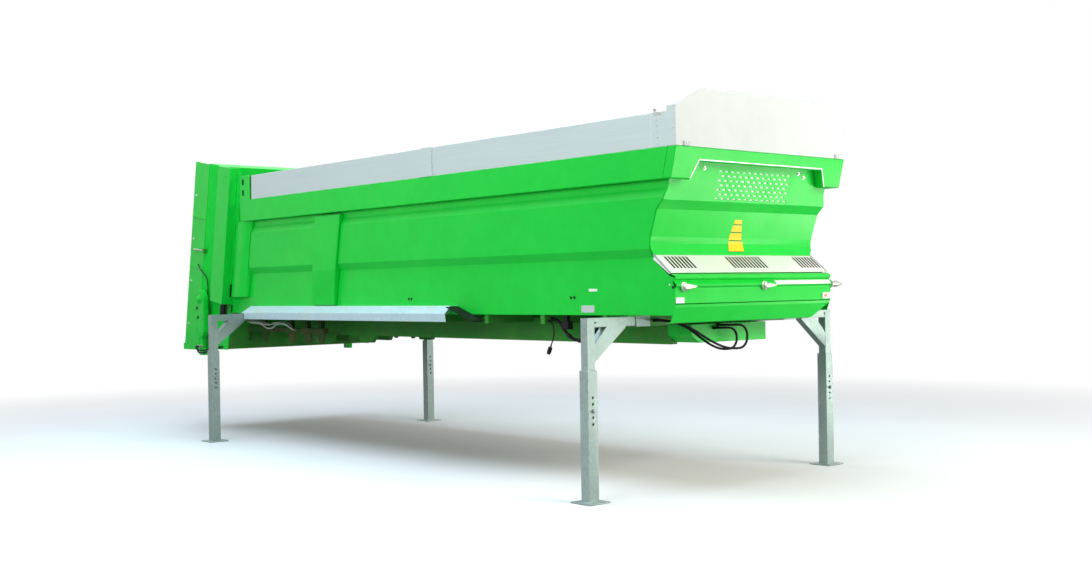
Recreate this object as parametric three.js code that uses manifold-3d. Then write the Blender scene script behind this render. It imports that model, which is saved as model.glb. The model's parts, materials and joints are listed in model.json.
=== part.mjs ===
// A manure spreader body for a carrier chassis, parked on its own four legs.
// Units are millimetres. X runs forward along the machine, Y to its left and Z up. Inside the
// machine, x is measured back from the front face of the front rail, y from the middle and z from
// the ground; the last group moves the whole machine so that its origin is the middle of its base.
import * as THREE from 'three';
import { mergeVertices } from 'three/addons/utils/BufferGeometryUtils.js';
import Module from 'manifold-3d';

const wasm = await Module();
wasm.setup();

// ---- driving dimensions -------------------------------------------------------------------------
const GAP = 0.3;                    // between two pieces that touch
const SLIDING_GAP = 0.8;            // around a rod or post that slides in its bore
const MARGIN = 200;                 // how far a cutting shape runs past what it cuts
const SHEET = 8;                    // wall and cover sheets
const BODY_LENGTH = 8400;           // from the front rail's face to the foot of the rear frame
const BODY_WIDTH = 2400;            // over the top rails
const SILL_Z = 1620;                // lower edge of the side walls
const WALL_HEIGHT = 1197;           // from the sill to the top rail
const RAIL_HEIGHT = 275;
const RAIL_DEPTH = 100;             // across the rail
const RAIL_END_INSET = 610;         // the rails stop this far in front of the rear frame's foot
const BOARD_HEIGHT = 308;
const BOARD_THICKNESS = 30;
const BOARD_INSET = 5;              // outer face of a board, in from the rail's face
const BOARD_END_INSET = 912;
const STAKE_X = -3638;              // middle of the stake on a side board
const STAKE_WIDTH = 190;
const HEADBOARD_CORNER_RISE = 43;   // its outer corners, above the side boards
const HEADBOARD_RISE = 219;         // its top edge, above the side boards
const HEADBOARD_CHAMFER = 321;
const HEADBOARD_RETURN = 300;       // length of its side flange
const CLAMP_REACH = 18;             // the headboard's clamps stand this far out in front
const CLAMP_WIDTH = 70;
const FLOOR_RISE = 110;             // load floor above the sill
const SLAT_HEIGHT = 30;
const SLAT_COUNT = 20;
const LEAN = 9.8 * Math.PI / 180;   // the rear frame and its beaters lean forward
const COLUMN_FRONT_U = 165;         // front face of a rear column
const FRAME_TOP_W = 1950;           // top of the rear frame, up the lean
const SIDE_DROP = 495;              // level lower edge of the spreader's side plates, below the sill
const SIDE_REAR_U = -965;           // rear edge of the spreader's side plates
const SIDE_SHEET = 10;
const DOOR_BOTTOM_W = 152;
const DOOR_TOP_W = 1480;
const CYLINDER_RADIUS = 45;
const ROD_RADIUS = 22;
const BEATER_U = -600;              // beater axes
const BEATER_SPACING = 1040;
const BEATER_RADIUS = 345;          // over the flight
const BEATER_TUBE_RADIUS = 85;
const DISC_RADIUS = 430;            // throwing disc under each beater
const LEG_FRONT_X = -635;
const LEG_REAR_INSET = 754;         // rear legs, in front of the rear frame's foot
const LEG_STAND_OFF = 483;          // leg posts, out from the top rails
const ARM = 80;                     // square arm that slides in the frame's socket
const POST = 86;                    // square inner post of a leg
const POST_BOTTOM_Z = 600;
const LEG_TUBE = 110;               // square outer tube of a leg
const LEG_TUBE_TOP_Z = 1155;
const LEG_PIN_Z = 804;
const FOOT = 250;                   // square foot plate
const FOOT_THICKNESS = 12;
const BEAM_DROP = 289;              // lower face of the two long beams, below the sill
const BEAM_HALF_SPACING = 450;
const BEAM_WIDTH = 90;
const CROSSMEMBER_DROP = 90;        // lower face of the cross-members, below the sill
const CROSSMEMBER_WIDTH = 60;
const CROSSMEMBER_COUNT = 9;
const GUARD_OVERHANG = 75;          // mudguards stand this far out from the top rails
const GUARD_END_INSET = 633;
const GUARD_FRONT_X = -3240;
const FRONT_BOX_X = -470;

const HALF = BODY_WIDTH / 2;
const LEG_HALF_SPACING = HALF + LEG_STAND_OFF;
const LOWER_Y = HALF - 95;          // outer face of the lower side wall
const UPPER_Y = HALF - 50;          // outer face of its wide middle panel
const FRAME_Y = LOWER_Y + 25;       // outer face of the rear frame's side sheets
const GUARD_Y = HALF + GUARD_OVERHANG;
const RAIL_BOTTOM_Z = SILL_Z + WALL_HEIGHT;
const RAIL_TOP_Z = RAIL_BOTTOM_Z + RAIL_HEIGHT;
const BOARD_TOP_Z = RAIL_TOP_Z + BOARD_HEIGHT;
const FLOOR_TOP_Z = SILL_Z + FLOOR_RISE;
const GUARD_TOP_Z = SILL_Z + 92;
const BEAM_BOTTOM_Z = SILL_Z - BEAM_DROP;
const LEAN_FOOT = [-BODY_LENGTH, SILL_Z];     // x and z of the point that the rear leans about
const RAIL_REAR_X = RAIL_END_INSET - BODY_LENGTH;
const BOARD_REAR_X = BOARD_END_INSET - BODY_LENGTH;
const LEG_REAR_X = LEG_REAR_INSET - BODY_LENGTH;
const GUARD_REAR_X = GUARD_END_INSET - BODY_LENGTH;
const FLANGE_REAR_X = -1095 - BODY_LENGTH;    // the rearmost point, on the side plates' feet

// ---- colours ------------------------------------------------------------------------------------
const paint = (color, roughness = 0.35, metalness = 0) => ({ color, roughness, metalness });
const GREEN = paint(0x12c03c);
const GREEN_DARK = paint(0x0d8f2e, 0.5);
const ALUMINIUM = paint(0xc4cecb, 0.35, 0.9);
const WHITE = paint(0xf2f4f3, 0.4);
const GALVANISED = paint(0xa9b5b6, 0.45, 0.8);
const BLACK = paint(0x1b1c1e, 0.6);
const CHROME = paint(0xd5d8da, 0.12, 1);

// ---- making solids ------------------------------------------------------------------------------
function solid(geometry) {
  geometry.deleteAttribute('normal');
  geometry.deleteAttribute('uv');
  const merged = mergeVertices(geometry, 1e-4);
  return new wasm.Manifold(new wasm.Mesh({
    numProp: 3,
    vertProperties: new Float32Array(merged.attributes.position.array),
    triVerts: new Uint32Array(merged.index.array),
  }));
}

function box(x0, x1, y0, y1, z0, z1) {
  const geometry = new THREE.BoxGeometry(x1 - x0, y1 - y0, z1 - z0);
  return solid(geometry.translate((x0 + x1) / 2, (y0 + y1) / 2, (z0 + z1) / 2));
}

function extrude(points, depth, xAxis, yAxis, zAxis, origin) {
  const shape = new THREE.Shape(points.map(([a, b]) => new THREE.Vector2(a, b)));
  const geometry = new THREE.ExtrudeGeometry(shape, { depth, bevelEnabled: false });
  const frame = new THREE.Matrix4().makeBasis(xAxis, yAxis, zAxis).setPosition(origin);
  return solid(geometry.applyMatrix4(frame));
}

const X = new THREE.Vector3(1, 0, 0);
const Y = new THREE.Vector3(0, 1, 0);
const Z = new THREE.Vector3(0, 0, 1);

// an outline of [y, z] points, carried along X
const alongX = (points, x0, x1) => extrude(points, x1 - x0, Y, Z, X, new THREE.Vector3(x0, 0, 0));
// an outline of [x, z] points, carried along Y
const alongY = (points, y0, y1) => {
  const back = Y.clone().negate();
  return extrude(points, y1 - y0, X, Z, back, new THREE.Vector3(0, y1, 0));
};
// an outline of [x, y] points, carried along Z
const alongZ = (points, z0, z1) => extrude(points, z1 - z0, X, Y, Z, new THREE.Vector3(0, 0, z0));

// a round bar between two points
function bar(from, to, radius, sides = 16) {
  const start = new THREE.Vector3(...from);
  const end = new THREE.Vector3(...to);
  const along = end.clone().sub(start);
  const geometry = new THREE.CylinderGeometry(radius, radius, along.length(), sides);
  const turn = new THREE.Quaternion().setFromUnitVectors(Y, along.clone().normalize());
  geometry.applyQuaternion(turn);
  return solid(geometry.translate(...start.add(end).multiplyScalar(0.5).toArray()));
}

const join = (...parts) => parts.flat().reduce((sum, part) => sum.add(part));

// A line of points moved to its left, with mitred corners.
function offset(line, distance) {
  const points = line.map(([a, b]) => new THREE.Vector2(a, b));
  const normals = points.slice(1).map((end, i) => {
    const along = end.clone().sub(points[i]).normalize();
    return new THREE.Vector2(-along.y, along.x);
  });
  return points.map((point, i) => {
    const before = normals[Math.max(i - 1, 0)];
    const after = normals[Math.min(i, normals.length - 1)];
    const mitre = before.clone().add(after).normalize();
    return point.clone().addScaledVector(mitre, distance / mitre.dot(after)).toArray();
  });
}

// a folded sheet: a line of points given a thickness to its left
const folded = (line, thickness) => [...line, ...offset(line, thickness).reverse()];

const arc = (cx, cy, radius, from, to, steps) => Array.from({ length: steps + 1 }, (_, i) => {
  const angle = from + (to - from) * i / steps;
  return [cx + radius * Math.cos(angle), cy + radius * Math.sin(angle)];
});

// a named mesh; side -1 mirrors a left-hand piece to the right
function piece(name, manifold, look, side = 1) {
  const { numProp, vertProperties, triVerts } = manifold.getMesh();
  const position = new Float32Array(vertProperties.length / numProp * 3);
  for (let i = 0; i < position.length / 3; i += 1) {
    position[i * 3] = vertProperties[i * numProp];
    position[i * 3 + 1] = vertProperties[i * numProp + 1] * side;
    position[i * 3 + 2] = vertProperties[i * numProp + 2];
  }
  const index = Array.from(triVerts);
  if (side < 0) index.reverse();
  const geometry = new THREE.BufferGeometry();
  geometry.setAttribute('position', new THREE.BufferAttribute(position, 3));
  geometry.setIndex(index);
  const mesh = new THREE.Mesh(geometry, new THREE.MeshStandardMaterial(look));
  mesh.name = name;
  return mesh;
}

const SIDES = [['right', -1], ['left', 1]];
const bothSides = (name, make, look) => SIDES.map(([word, side]) => (
  piece(`${name}_${word}`, make(side), look, side)));

// a machine point [x, z] as [u, w] of the leaning rear unit
const toLeaned = ([x, z]) => {
  const [back, up] = [x - LEAN_FOOT[0], z - LEAN_FOOT[1]];
  return [
    back * Math.cos(LEAN) - up * Math.sin(LEAN), back * Math.sin(LEAN) + up * Math.cos(LEAN),
  ];
};
// the point at height z on the leaning line that stands u in front of the frame's foot
const leanedAt = (u, z) => [
  LEAN_FOOT[0] + u / Math.cos(LEAN) + (z - LEAN_FOOT[1]) * Math.tan(LEAN), z,
];

// ---- the side walls -----------------------------------------------------------------------------
// outer face of the left wall, from the top rail down to the sill, as [y, z]
const WALL_LINE = [
  [LOWER_Y + 10, RAIL_BOTTOM_Z - GAP], [LOWER_Y + 10, RAIL_BOTTOM_Z - 72],
  [UPPER_Y, RAIL_BOTTOM_Z - 157], [UPPER_Y, SILL_Z + 590],
  [LOWER_Y, SILL_Z + 515], [LOWER_Y, SILL_Z],
];
const WALL_INSIDE = LOWER_Y - SHEET - GAP;    // half the width free between the lower walls

// outer face of the front wall, from behind the front rail down to the floor, as [x, z]
const FRONT_RAIL_DEPTH = 100;
const FRONT_WALL_FOOT_X = -370;
const FRONT_WALL_LINE = [
  [-FRONT_RAIL_DEPTH - GAP, RAIL_TOP_Z], [-215, RAIL_BOTTOM_Z - 177], [-292, RAIL_BOTTOM_Z - 255],
  [-375, SILL_Z + 700], [-382, SILL_Z + 642], [FRONT_WALL_FOOT_X, SILL_Z + 545],
  [FRONT_WALL_FOOT_X, SILL_Z + 25],
];
const FRONT_SLOPE = (FRONT_WALL_LINE[0][0] - FRONT_WALL_LINE[1][0])
  / (FRONT_WALL_LINE[0][1] - FRONT_WALL_LINE[1][1]);
// outer faces of the sloping step and the two covers below it
const STEP_LINE = [[-365.5, SILL_Z + 538], [-172, SILL_Z + 378]];
const COVER_LINE = [
  [-176, SILL_Z + 368], [-118, SILL_Z + 352], [-118, SILL_Z + 325], [-142, SILL_Z + 305],
  [-104, SILL_Z + 273], [-104, SILL_Z + 257], [-122, SILL_Z + 240], [-122, SILL_Z + 104],
];
const LOWER_COVER_LINE = [
  [-122, SILL_Z + 96], [-128, SILL_Z + 70], [-180, SILL_Z - 64], [-230, SILL_Z - 72],
];

// what the walls and posts may fill, seen from the side: behind the front sheets, in front of
// the leaning columns
const WALL_CLEARANCE = 2;           // behind the front wall's inner face
function sideOutline() {
  const rear = (z) => leanedAt(COLUMN_FRONT_U + GAP, z);
  const behindCover = COVER_LINE.at(-1)[0] - SHEET - GAP - 0.4;
  const underRail = -FRONT_RAIL_DEPTH - GAP;
  const behindFront = FRONT_WALL_LINE.slice(1, 5).reverse()
    .map(([x, z]) => [x - SHEET - WALL_CLEARANCE, z]);
  return alongY([
    rear(SILL_Z - 60), [-250, SILL_Z - 60], [-164.7, SILL_Z], [-137.4, SILL_Z + 70],
    [behindCover, SILL_Z + 96], [behindCover, SILL_Z + 232], [-160, SILL_Z + 305],
    [-136, SILL_Z + 322], [-136, SILL_Z + 334], [-190, SILL_Z + 348], [-402, SILL_Z + 510],
    [behindFront[0][0], SILL_Z + 555], ...behindFront,
    [underRail, RAIL_TOP_Z - 32], [underRail, RAIL_TOP_Z + 28], rear(RAIL_TOP_Z + 28),
  ], 0, HALF + MARGIN);
}

function sideWall() {
  const section = folded([...WALL_LINE].reverse(), SHEET);
  return alongX(section, -BODY_LENGTH - MARGIN, 0).intersect(sideOutline());
}

// the pressed post in the middle of a side, narrower at its foot
function midPost() {
  const low = GUARD_TOP_Z + 6;
  const high = RAIL_BOTTOM_Z - 22;
  const outline = [[-6100, low], [-5610, low], [-5410, high], [-5970, high]];
  const crest = UPPER_Y + 30;
  const shape = alongX([
    ...WALL_LINE.map(([y, z]) => [y + GAP, z]).reverse(), [crest, RAIL_BOTTOM_Z - GAP],
    [crest, SILL_Z + 515], [UPPER_Y, SILL_Z],
  ].reverse(), -6200, -5300);
  return shape.intersect(alongY(outline, LOWER_Y - MARGIN, HALF + MARGIN));
}

// the half-round post at the rear of a side, which leans with the rear frame
function rearPost() {
  const width = 430;
  const bulge = 62;
  const back = LOWER_Y - 20;
  const face = UPPER_Y - 14;
  const section = [
    [0, back], [width, back], [width, face],
    ...arc(width / 2, face, width / 2, 0, Math.PI, 10)
      .map(([x, y]) => [x, face + (y - face) * bulge / (width / 2)]).slice(1),
  ];
  const bottom = SILL_Z + 210;
  const foot = new THREE.Vector3(leanedAt(COLUMN_FRONT_U + 30, bottom)[0], 0, bottom);
  const leaning = new THREE.Vector3(Math.tan(LEAN), 0, 1);
  const post = extrude(section, RAIL_BOTTOM_Z - bottom + MARGIN, X, Y, leaning, foot);
  const inner = LOWER_Y - MARGIN;
  const wall = alongX([
    [inner, SILL_Z - MARGIN], [LOWER_Y + GAP, SILL_Z - MARGIN],
    ...WALL_LINE.map(([y, z]) => [y + GAP, z]).reverse(), [inner, RAIL_BOTTOM_Z + MARGIN],
  ], -BODY_LENGTH - MARGIN, 0);
  const below = box(-BODY_LENGTH - MARGIN, 0, inner, HALF + MARGIN, SILL_Z, RAIL_BOTTOM_Z - GAP);
  return post.subtract(wall).intersect(below);
}

// ---- the top rails and boards -------------------------------------------------------------------
function topRail() {
  const front = (z) => [-FRONT_RAIL_DEPTH - GAP - FRONT_SLOPE * (RAIL_TOP_Z - z), z];
  const rail = alongY([
    [RAIL_REAR_X, RAIL_BOTTOM_Z], front(RAIL_BOTTOM_Z), front(RAIL_TOP_Z), [RAIL_REAR_X, RAIL_TOP_Z],
  ], HALF - RAIL_DEPTH, HALF);
  const corner = 45;
  const plateTop = BOARD_TOP_Z + 10;
  const plateFront = RAIL_REAR_X + 260;
  const plateThickness = 12;
  const plate = alongY([
    [RAIL_REAR_X, RAIL_TOP_Z - 50], [plateFront, RAIL_TOP_Z - 50],
    ...arc(plateFront - corner, plateTop - corner, corner, 0, Math.PI / 2, 6),
    [RAIL_REAR_X, plateTop],
  ], HALF - plateThickness, HALF);
  const hole = (z) => box(RAIL_REAR_X + 60, RAIL_REAR_X + 110, HALF - 30, HALF + 10, z, z + 70);
  return rail.add(plate).subtract(hole(RAIL_TOP_Z + 58)).subtract(hole(RAIL_TOP_Z + 198));
}

const boardSpan = () => [HALF - BOARD_INSET - BOARD_THICKNESS, HALF - BOARD_INSET];

function sideBoard() {
  const [inner, outer] = boardSpan();
  const front = -HEADBOARD_RETURN - GAP;
  return box(BOARD_REAR_X, front, inner, outer, RAIL_TOP_Z + GAP, BOARD_TOP_Z);
}

function boardStake() {
  const [inner, outer] = boardSpan();
  const half = STAKE_WIDTH / 2;
  const top = BOARD_TOP_Z + 4;
  const pinX = STAKE_X + half - 40;
  const face = box(STAKE_X - half, STAKE_X + half, outer + GAP, HALF + 6, RAIL_TOP_Z + GAP, top);
  const cap = box(STAKE_X - half, STAKE_X + half, inner, HALF + 6, BOARD_TOP_Z + GAP, top);
  const pin = bar([pinX, HALF - 20, top - 2], [pinX, HALF - 20, top + 34], 11, 12);
  return join(face, cap, pin);
}

function headboard() {
  const corner = BOARD_TOP_Z + HEADBOARD_CORNER_RISE;
  const top = BOARD_TOP_Z + HEADBOARD_RISE;
  const bottom = RAIL_TOP_Z + GAP;
  const sheet = alongX([
    [-HALF, bottom], [HALF, bottom], [HALF, corner], [HALF - HEADBOARD_CHAMFER, top],
    [HEADBOARD_CHAMFER - HALF, top], [-HALF, corner],
  ], -BOARD_THICKNESS, 0);
  const fittings = (side) => {
    const [low, high] = boardSpan().map((y) => y * side).sort((a, b) => a - b);
    const clampY = side * (HALF - 130);
    return [
      box(-HEADBOARD_RETURN, -1, low, high, bottom, BOARD_TOP_Z),
      box(-110, -1, low, high, BOARD_TOP_Z - 1, corner),
      box(-1, CLAMP_REACH, clampY - CLAMP_WIDTH / 2, clampY + CLAMP_WIDTH / 2, bottom, bottom + 42),
    ];
  };
  return join(sheet, fittings(-1), fittings(1));
}

// ---- the front ----------------------------------------------------------------------------------
// the front rail slopes as the wall behind it does
function frontRail() {
  const low = RAIL_TOP_Z - 112;
  const foot = HALF - 250;
  const knee = HALF - 330;
  const outline = [
    [-HALF, RAIL_TOP_Z], [-HALF, RAIL_BOTTOM_Z], [-foot, RAIL_BOTTOM_Z], [-knee, low],
    [knee, low], [foot, RAIL_BOTTOM_Z], [HALF, RAIL_BOTTOM_Z], [HALF, RAIL_TOP_Z],
  ];
  const sloping = new THREE.Vector3(FRONT_SLOPE, 0, 1);
  const start = new THREE.Vector3(-FRONT_RAIL_DEPTH - FRONT_SLOPE * RAIL_TOP_Z, 0, 0);
  return extrude(outline, FRONT_RAIL_DEPTH, Y, sloping, X, start);
}

function frontWall() {
  const half = folded(FRONT_WALL_LINE.slice().reverse(), SHEET);
  const sheet = alongY(half, -HALF, HALF);
  const inside = offset([...WALL_LINE].reverse(), SHEET + GAP * 2).reverse();
  const railInside = HALF - RAIL_DEPTH - GAP;
  const right = [[railInside, RAIL_TOP_Z + 10], [railInside, RAIL_BOTTOM_Z - GAP * 2],
    ...inside.map(([y, z]) => [y, z - GAP])];
  const left = right.map(([y, z]) => [-y, z]).reverse();
  return sheet.intersect(alongX([...right.reverse(), ...left.reverse()], -500, 0));
}

function stepShelf() {
  const halfWidth = LOWER_Y + 7;
  const thickness = 6;
  const pitch = 46;
  const slotHalfWidth = 11;
  const sheet = alongY(folded(STEP_LINE.slice().reverse(), thickness), -halfWidth, halfWidth);
  const end = (y) => alongY([
    [-365, SILL_Z + 536], [-174, SILL_Z + 378], [-186, SILL_Z + 366], [-378, SILL_Z + 498],
  ], y, y + thickness);
  const slot = (y) => alongY([
    [-330, SILL_Z + 560], [-240, SILL_Z + 486], [-300, SILL_Z + 416], [-390, SILL_Z + 490],
  ], y - slotHalfWidth, y + slotHalfWidth);
  const group = (middle, count) => Array.from({ length: count }, (_, i) => (
    slot(middle + (i - (count - 1) / 2) * pitch)));
  const slots = join(group(247 - halfWidth, 7), group(42, 11), group(halfWidth - 172, 7));
  return join(sheet, end(-halfWidth), end(halfWidth - thickness)).subtract(slots);
}

const COVER_HALF_WIDTH = LOWER_Y + 3;

function frontCover() {
  return alongY(folded(COVER_LINE.slice().reverse(), SHEET), -COVER_HALF_WIDTH, COVER_HALF_WIDTH);
}

// the lower cover's left corner is cut away
function lowerCover() {
  const line = LOWER_COVER_LINE.slice().reverse();
  const sheet = alongY(folded(line, SHEET), -COVER_HALF_WIDTH, COVER_HALF_WIDTH);
  const kept = alongX([
    [-HALF, SILL_Z - MARGIN], [COVER_HALF_WIDTH - 248, SILL_Z - MARGIN],
    [COVER_HALF_WIDTH - 248, SILL_Z - 75], [COVER_HALF_WIDTH, SILL_Z + 95],
    [COVER_HALF_WIDTH, SILL_Z + MARGIN], [-HALF, SILL_Z + MARGIN],
  ], -400, 0);
  return sheet.intersect(kept);
}

// ---- floor and scraper chain --------------------------------------------------------------------
const FLOOR_FRONT_X = FRONT_WALL_FOOT_X - SHEET - 71;
const FLOOR_REAR_X = LEAN_FOOT[0] - 40;

function floorPlate() {
  const plate = box(FLOOR_REAR_X, FLOOR_FRONT_X, -WALL_INSIDE, WALL_INSIDE,
    FLOOR_TOP_Z - SHEET, FLOOR_TOP_Z);
  const count = 13;
  const ribs = Array.from({ length: count }, (_, i) => {
    const x = FLOOR_REAR_X + 60 + (FLOOR_FRONT_X - FLOOR_REAR_X - 130) * i / (count - 1);
    return box(x, x + 50, -WALL_INSIDE, WALL_INSIDE, FLOOR_TOP_Z - SHEET - 30,
      FLOOR_TOP_Z - SHEET + 1);
  });
  return join(plate, ribs);
}

const CHAIN_THICKNESS = 14;
const CHAIN_WIDTH = 40;
const CHAIN_TOP_Z = FLOOR_TOP_Z + GAP + CHAIN_THICKNESS;
const CHAIN_BOTTOM_Z = FLOOR_TOP_Z - 62;
const CHAIN_RADIUS = (CHAIN_TOP_Z - CHAIN_BOTTOM_Z) / 2;
const CHAIN_MIDDLE_Z = (CHAIN_TOP_Z + CHAIN_BOTTOM_Z) / 2;
const SHAFT_RADIUS = CHAIN_RADIUS - CHAIN_THICKNESS - GAP;
const CHAIN_REAR_X = FLOOR_REAR_X - SHAFT_RADIUS - 2;
const CHAIN_FRONT_X = FLOOR_FRONT_X + SHAFT_RADIUS + 2;
const CHAIN_YS = [-560, 560];

function floorChain() {
  const loop = (radius) => [
    ...arc(CHAIN_FRONT_X, CHAIN_MIDDLE_Z, radius, -Math.PI / 2, Math.PI / 2, 8),
    ...arc(CHAIN_REAR_X, CHAIN_MIDDLE_Z, radius, Math.PI / 2, Math.PI * 1.5, 8),
  ];
  const chains = CHAIN_YS.map((y) => (
    alongY(loop(CHAIN_RADIUS), y - CHAIN_WIDTH / 2, y + CHAIN_WIDTH / 2).subtract(
      alongY(loop(CHAIN_RADIUS - CHAIN_THICKNESS), y - CHAIN_WIDTH, y + CHAIN_WIDTH))));
  const reach = WALL_INSIDE - 25;
  const low = CHAIN_BOTTOM_Z - SLAT_HEIGHT;
  const slats = Array.from({ length: SLAT_COUNT }, (_, i) => {
    const x = CHAIN_REAR_X + 90 + (CHAIN_FRONT_X - CHAIN_REAR_X - 180) * i / (SLAT_COUNT - 1);
    return [
      box(x - 20, x + 20, -reach, reach, CHAIN_TOP_Z - CHAIN_THICKNESS, FLOOR_TOP_Z + SLAT_HEIGHT),
      box(x - 20, x + 20, -reach, reach, low, CHAIN_BOTTOM_Z + 8),
    ];
  });
  const shafts = [CHAIN_REAR_X, CHAIN_FRONT_X].map((x) => (
    bar([x, -WALL_INSIDE, CHAIN_MIDDLE_Z], [x, WALL_INSIDE, CHAIN_MIDDLE_Z], SHAFT_RADIUS, 16)));
  const sprockets = CHAIN_YS.flatMap((y) => [CHAIN_REAR_X, CHAIN_FRONT_X].map((x) => (
    bar([x, y - 12, CHAIN_MIDDLE_Z], [x, y + 12, CHAIN_MIDDLE_Z], SHAFT_RADIUS + 4, 16))));
  return join(chains, slats.flat(), shafts, sprockets);
}

// ---- sub-frame and legs -------------------------------------------------------------------------
const ARM_TOP_Z = SILL_Z - 9;
const ARM_BOTTOM_Z = ARM_TOP_Z - ARM;
const ARM_INNER_Y = 620;            // how far in under the body an arm reaches

const SOCKET_WALL = 8;
const SOCKET_OUTER_Y = LOWER_Y + 25;

function socketAt(x, side) {
  const half = ARM / 2 + SOCKET_WALL;
  const across = (inner, outer) => [side * inner, side * outer].sort((a, b) => a - b);
  const outer = box(x - half, x + half, ...across(BEAM_HALF_SPACING, SOCKET_OUTER_Y),
    ARM_BOTTOM_Z - SOCKET_WALL, ARM_TOP_Z + SOCKET_WALL);
  const hollow = box(x - ARM / 2 - GAP, x + ARM / 2 + GAP,
    ...across(ARM_INNER_Y - 20, SOCKET_OUTER_Y + 70), ARM_BOTTOM_Z - GAP, ARM_TOP_Z + GAP);
  return [outer, hollow];
}

const BEAM_FRONT_X = FRONT_BOX_X - 300;

function subframe() {
  const topZ = SILL_Z - GAP;
  const beamTopZ = topZ - 40;
  const rear = (z) => leanedAt(BASE_FRONT_U + GAP, z);
  const beam = (side) => {
    const y = side * BEAM_HALF_SPACING;
    const outline = [
      rear(BEAM_BOTTOM_Z), [BEAM_FRONT_X, BEAM_BOTTOM_Z], [BEAM_FRONT_X, beamTopZ], rear(beamTopZ),
    ];
    return alongY(outline, y - BEAM_WIDTH / 2, y + BEAM_WIDTH / 2);
  };
  const firstMemberX = BEAM_FRONT_X - 260;
  const memberSpan = BODY_LENGTH + BEAM_FRONT_X - 620;
  const members = Array.from({ length: CROSSMEMBER_COUNT }, (_, i) => {
    const x = firstMemberX - memberSpan * i / (CROSSMEMBER_COUNT - 1);
    return box(x - CROSSMEMBER_WIDTH / 2, x + CROSSMEMBER_WIDTH / 2, -WALL_INSIDE, WALL_INSIDE,
      SILL_Z - CROSSMEMBER_DROP, topZ);
  });
  // the coupling lugs under the beams, from x0 to x1
  const lugTopZ = BEAM_BOTTOM_Z + 20;
  const lug = (x0, x1, drop) => SIDES.map(([, side]) => {
    const y = side * BEAM_HALF_SPACING;
    const low = BEAM_BOTTOM_Z - drop;
    return alongY([[x0, lugTopZ], [x0 + 60, low], [x1 - 90, low], [x1, lugTopZ]], y - 25, y + 25);
  });
  const lugs = [
    lug(250 - BODY_LENGTH, 700 - BODY_LENGTH, 141), lug(1150 - BODY_LENGTH, 1700 - BODY_LENGTH, 109),
    lug(2250 - BODY_LENGTH, 2650 - BODY_LENGTH, 86),
  ];
  const sockets = [LEG_FRONT_X, LEG_REAR_X].flatMap((x) => [socketAt(x, -1), socketAt(x, 1)]);
  const half = ARM / 2 + SOCKET_WALL;
  const tie = box(LEG_FRONT_X - half, LEG_FRONT_X + half, -BEAM_HALF_SPACING, BEAM_HALF_SPACING,
    ARM_BOTTOM_Z - SOCKET_WALL, ARM_TOP_Z + SOCKET_WALL);
  const bridgeY = BEAM_HALF_SPACING + BEAM_WIDTH / 2;
  const bridge = box(BEAM_FRONT_X - 1, LEG_FRONT_X, -bridgeY, bridgeY,
    ARM_BOTTOM_Z - SOCKET_WALL, ARM_TOP_Z);
  const solids = join(beam(-1), beam(1), members, lugs.flat(), sockets.map(([outer]) => outer),
    tie, bridge);
  return sockets.reduce((sum, [, hollow]) => sum.subtract(hollow), solids);
}

function frontBox() {
  const halfWidth = 530;
  const bottom = BEAM_BOTTOM_Z + 19;
  const top = ARM_BOTTOM_Z - SOCKET_WALL - GAP;
  return alongX([
    [-halfWidth, bottom + 70], [-halfWidth + 110, bottom], [halfWidth, bottom],
    [halfWidth, top], [-halfWidth, top],
  ], BEAM_FRONT_X + GAP, FRONT_BOX_X);
}

function legBracket(x) {
  const outer = LEG_HALF_SPACING + POST / 2;
  const inner = LEG_HALF_SPACING - POST / 2;
  const post = box(x - POST / 2, x + POST / 2, inner, outer, POST_BOTTOM_Z, ARM_TOP_Z);
  const arm = box(x - ARM / 2, x + ARM / 2, ARM_INNER_Y, outer - 1, ARM_BOTTOM_Z, ARM_TOP_Z);
  const braceZ = ARM_BOTTOM_Z - 306;
  const braceY = SOCKET_OUTER_Y + 125;
  const brace = alongX([
    [inner + 1, braceZ], [inner + 1, braceZ + 150], [inner - 150, ARM_BOTTOM_Z + 1],
    [braceY, ARM_BOTTOM_Z + 1], [braceY, ARM_BOTTOM_Z - 12],
  ], x - ARM / 2, x + ARM / 2);
  return join(post, arm, brace);
}

function legTube(x) {
  const half = LEG_TUBE / 2;
  const bore = POST / 2 + SLIDING_GAP;
  const y = LEG_HALF_SPACING;
  const tube = box(x - half, x + half, y - half, y + half, FOOT_THICKNESS - 1, LEG_TUBE_TOP_Z);
  const hollow = box(x - bore, x + bore, y - bore, y + bore, FOOT_THICKNESS, LEG_TUBE_TOP_Z + 10);
  const foot = box(x - FOOT / 2, x + FOOT / 2, y - FOOT / 2, y + FOOT / 2, 0, FOOT_THICKNESS);
  const pin = bar([x + half - 1, y, LEG_PIN_Z], [x + half + 28, y, LEG_PIN_Z], 14, 12);
  return join(tube.subtract(hollow), foot, pin);
}

// ---- mudguards ----------------------------------------------------------------------------------
const GUARD_WALL_Y = LOWER_Y + GAP;
const GUARD_SKIRT_Z = SILL_Z - 75;

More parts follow.
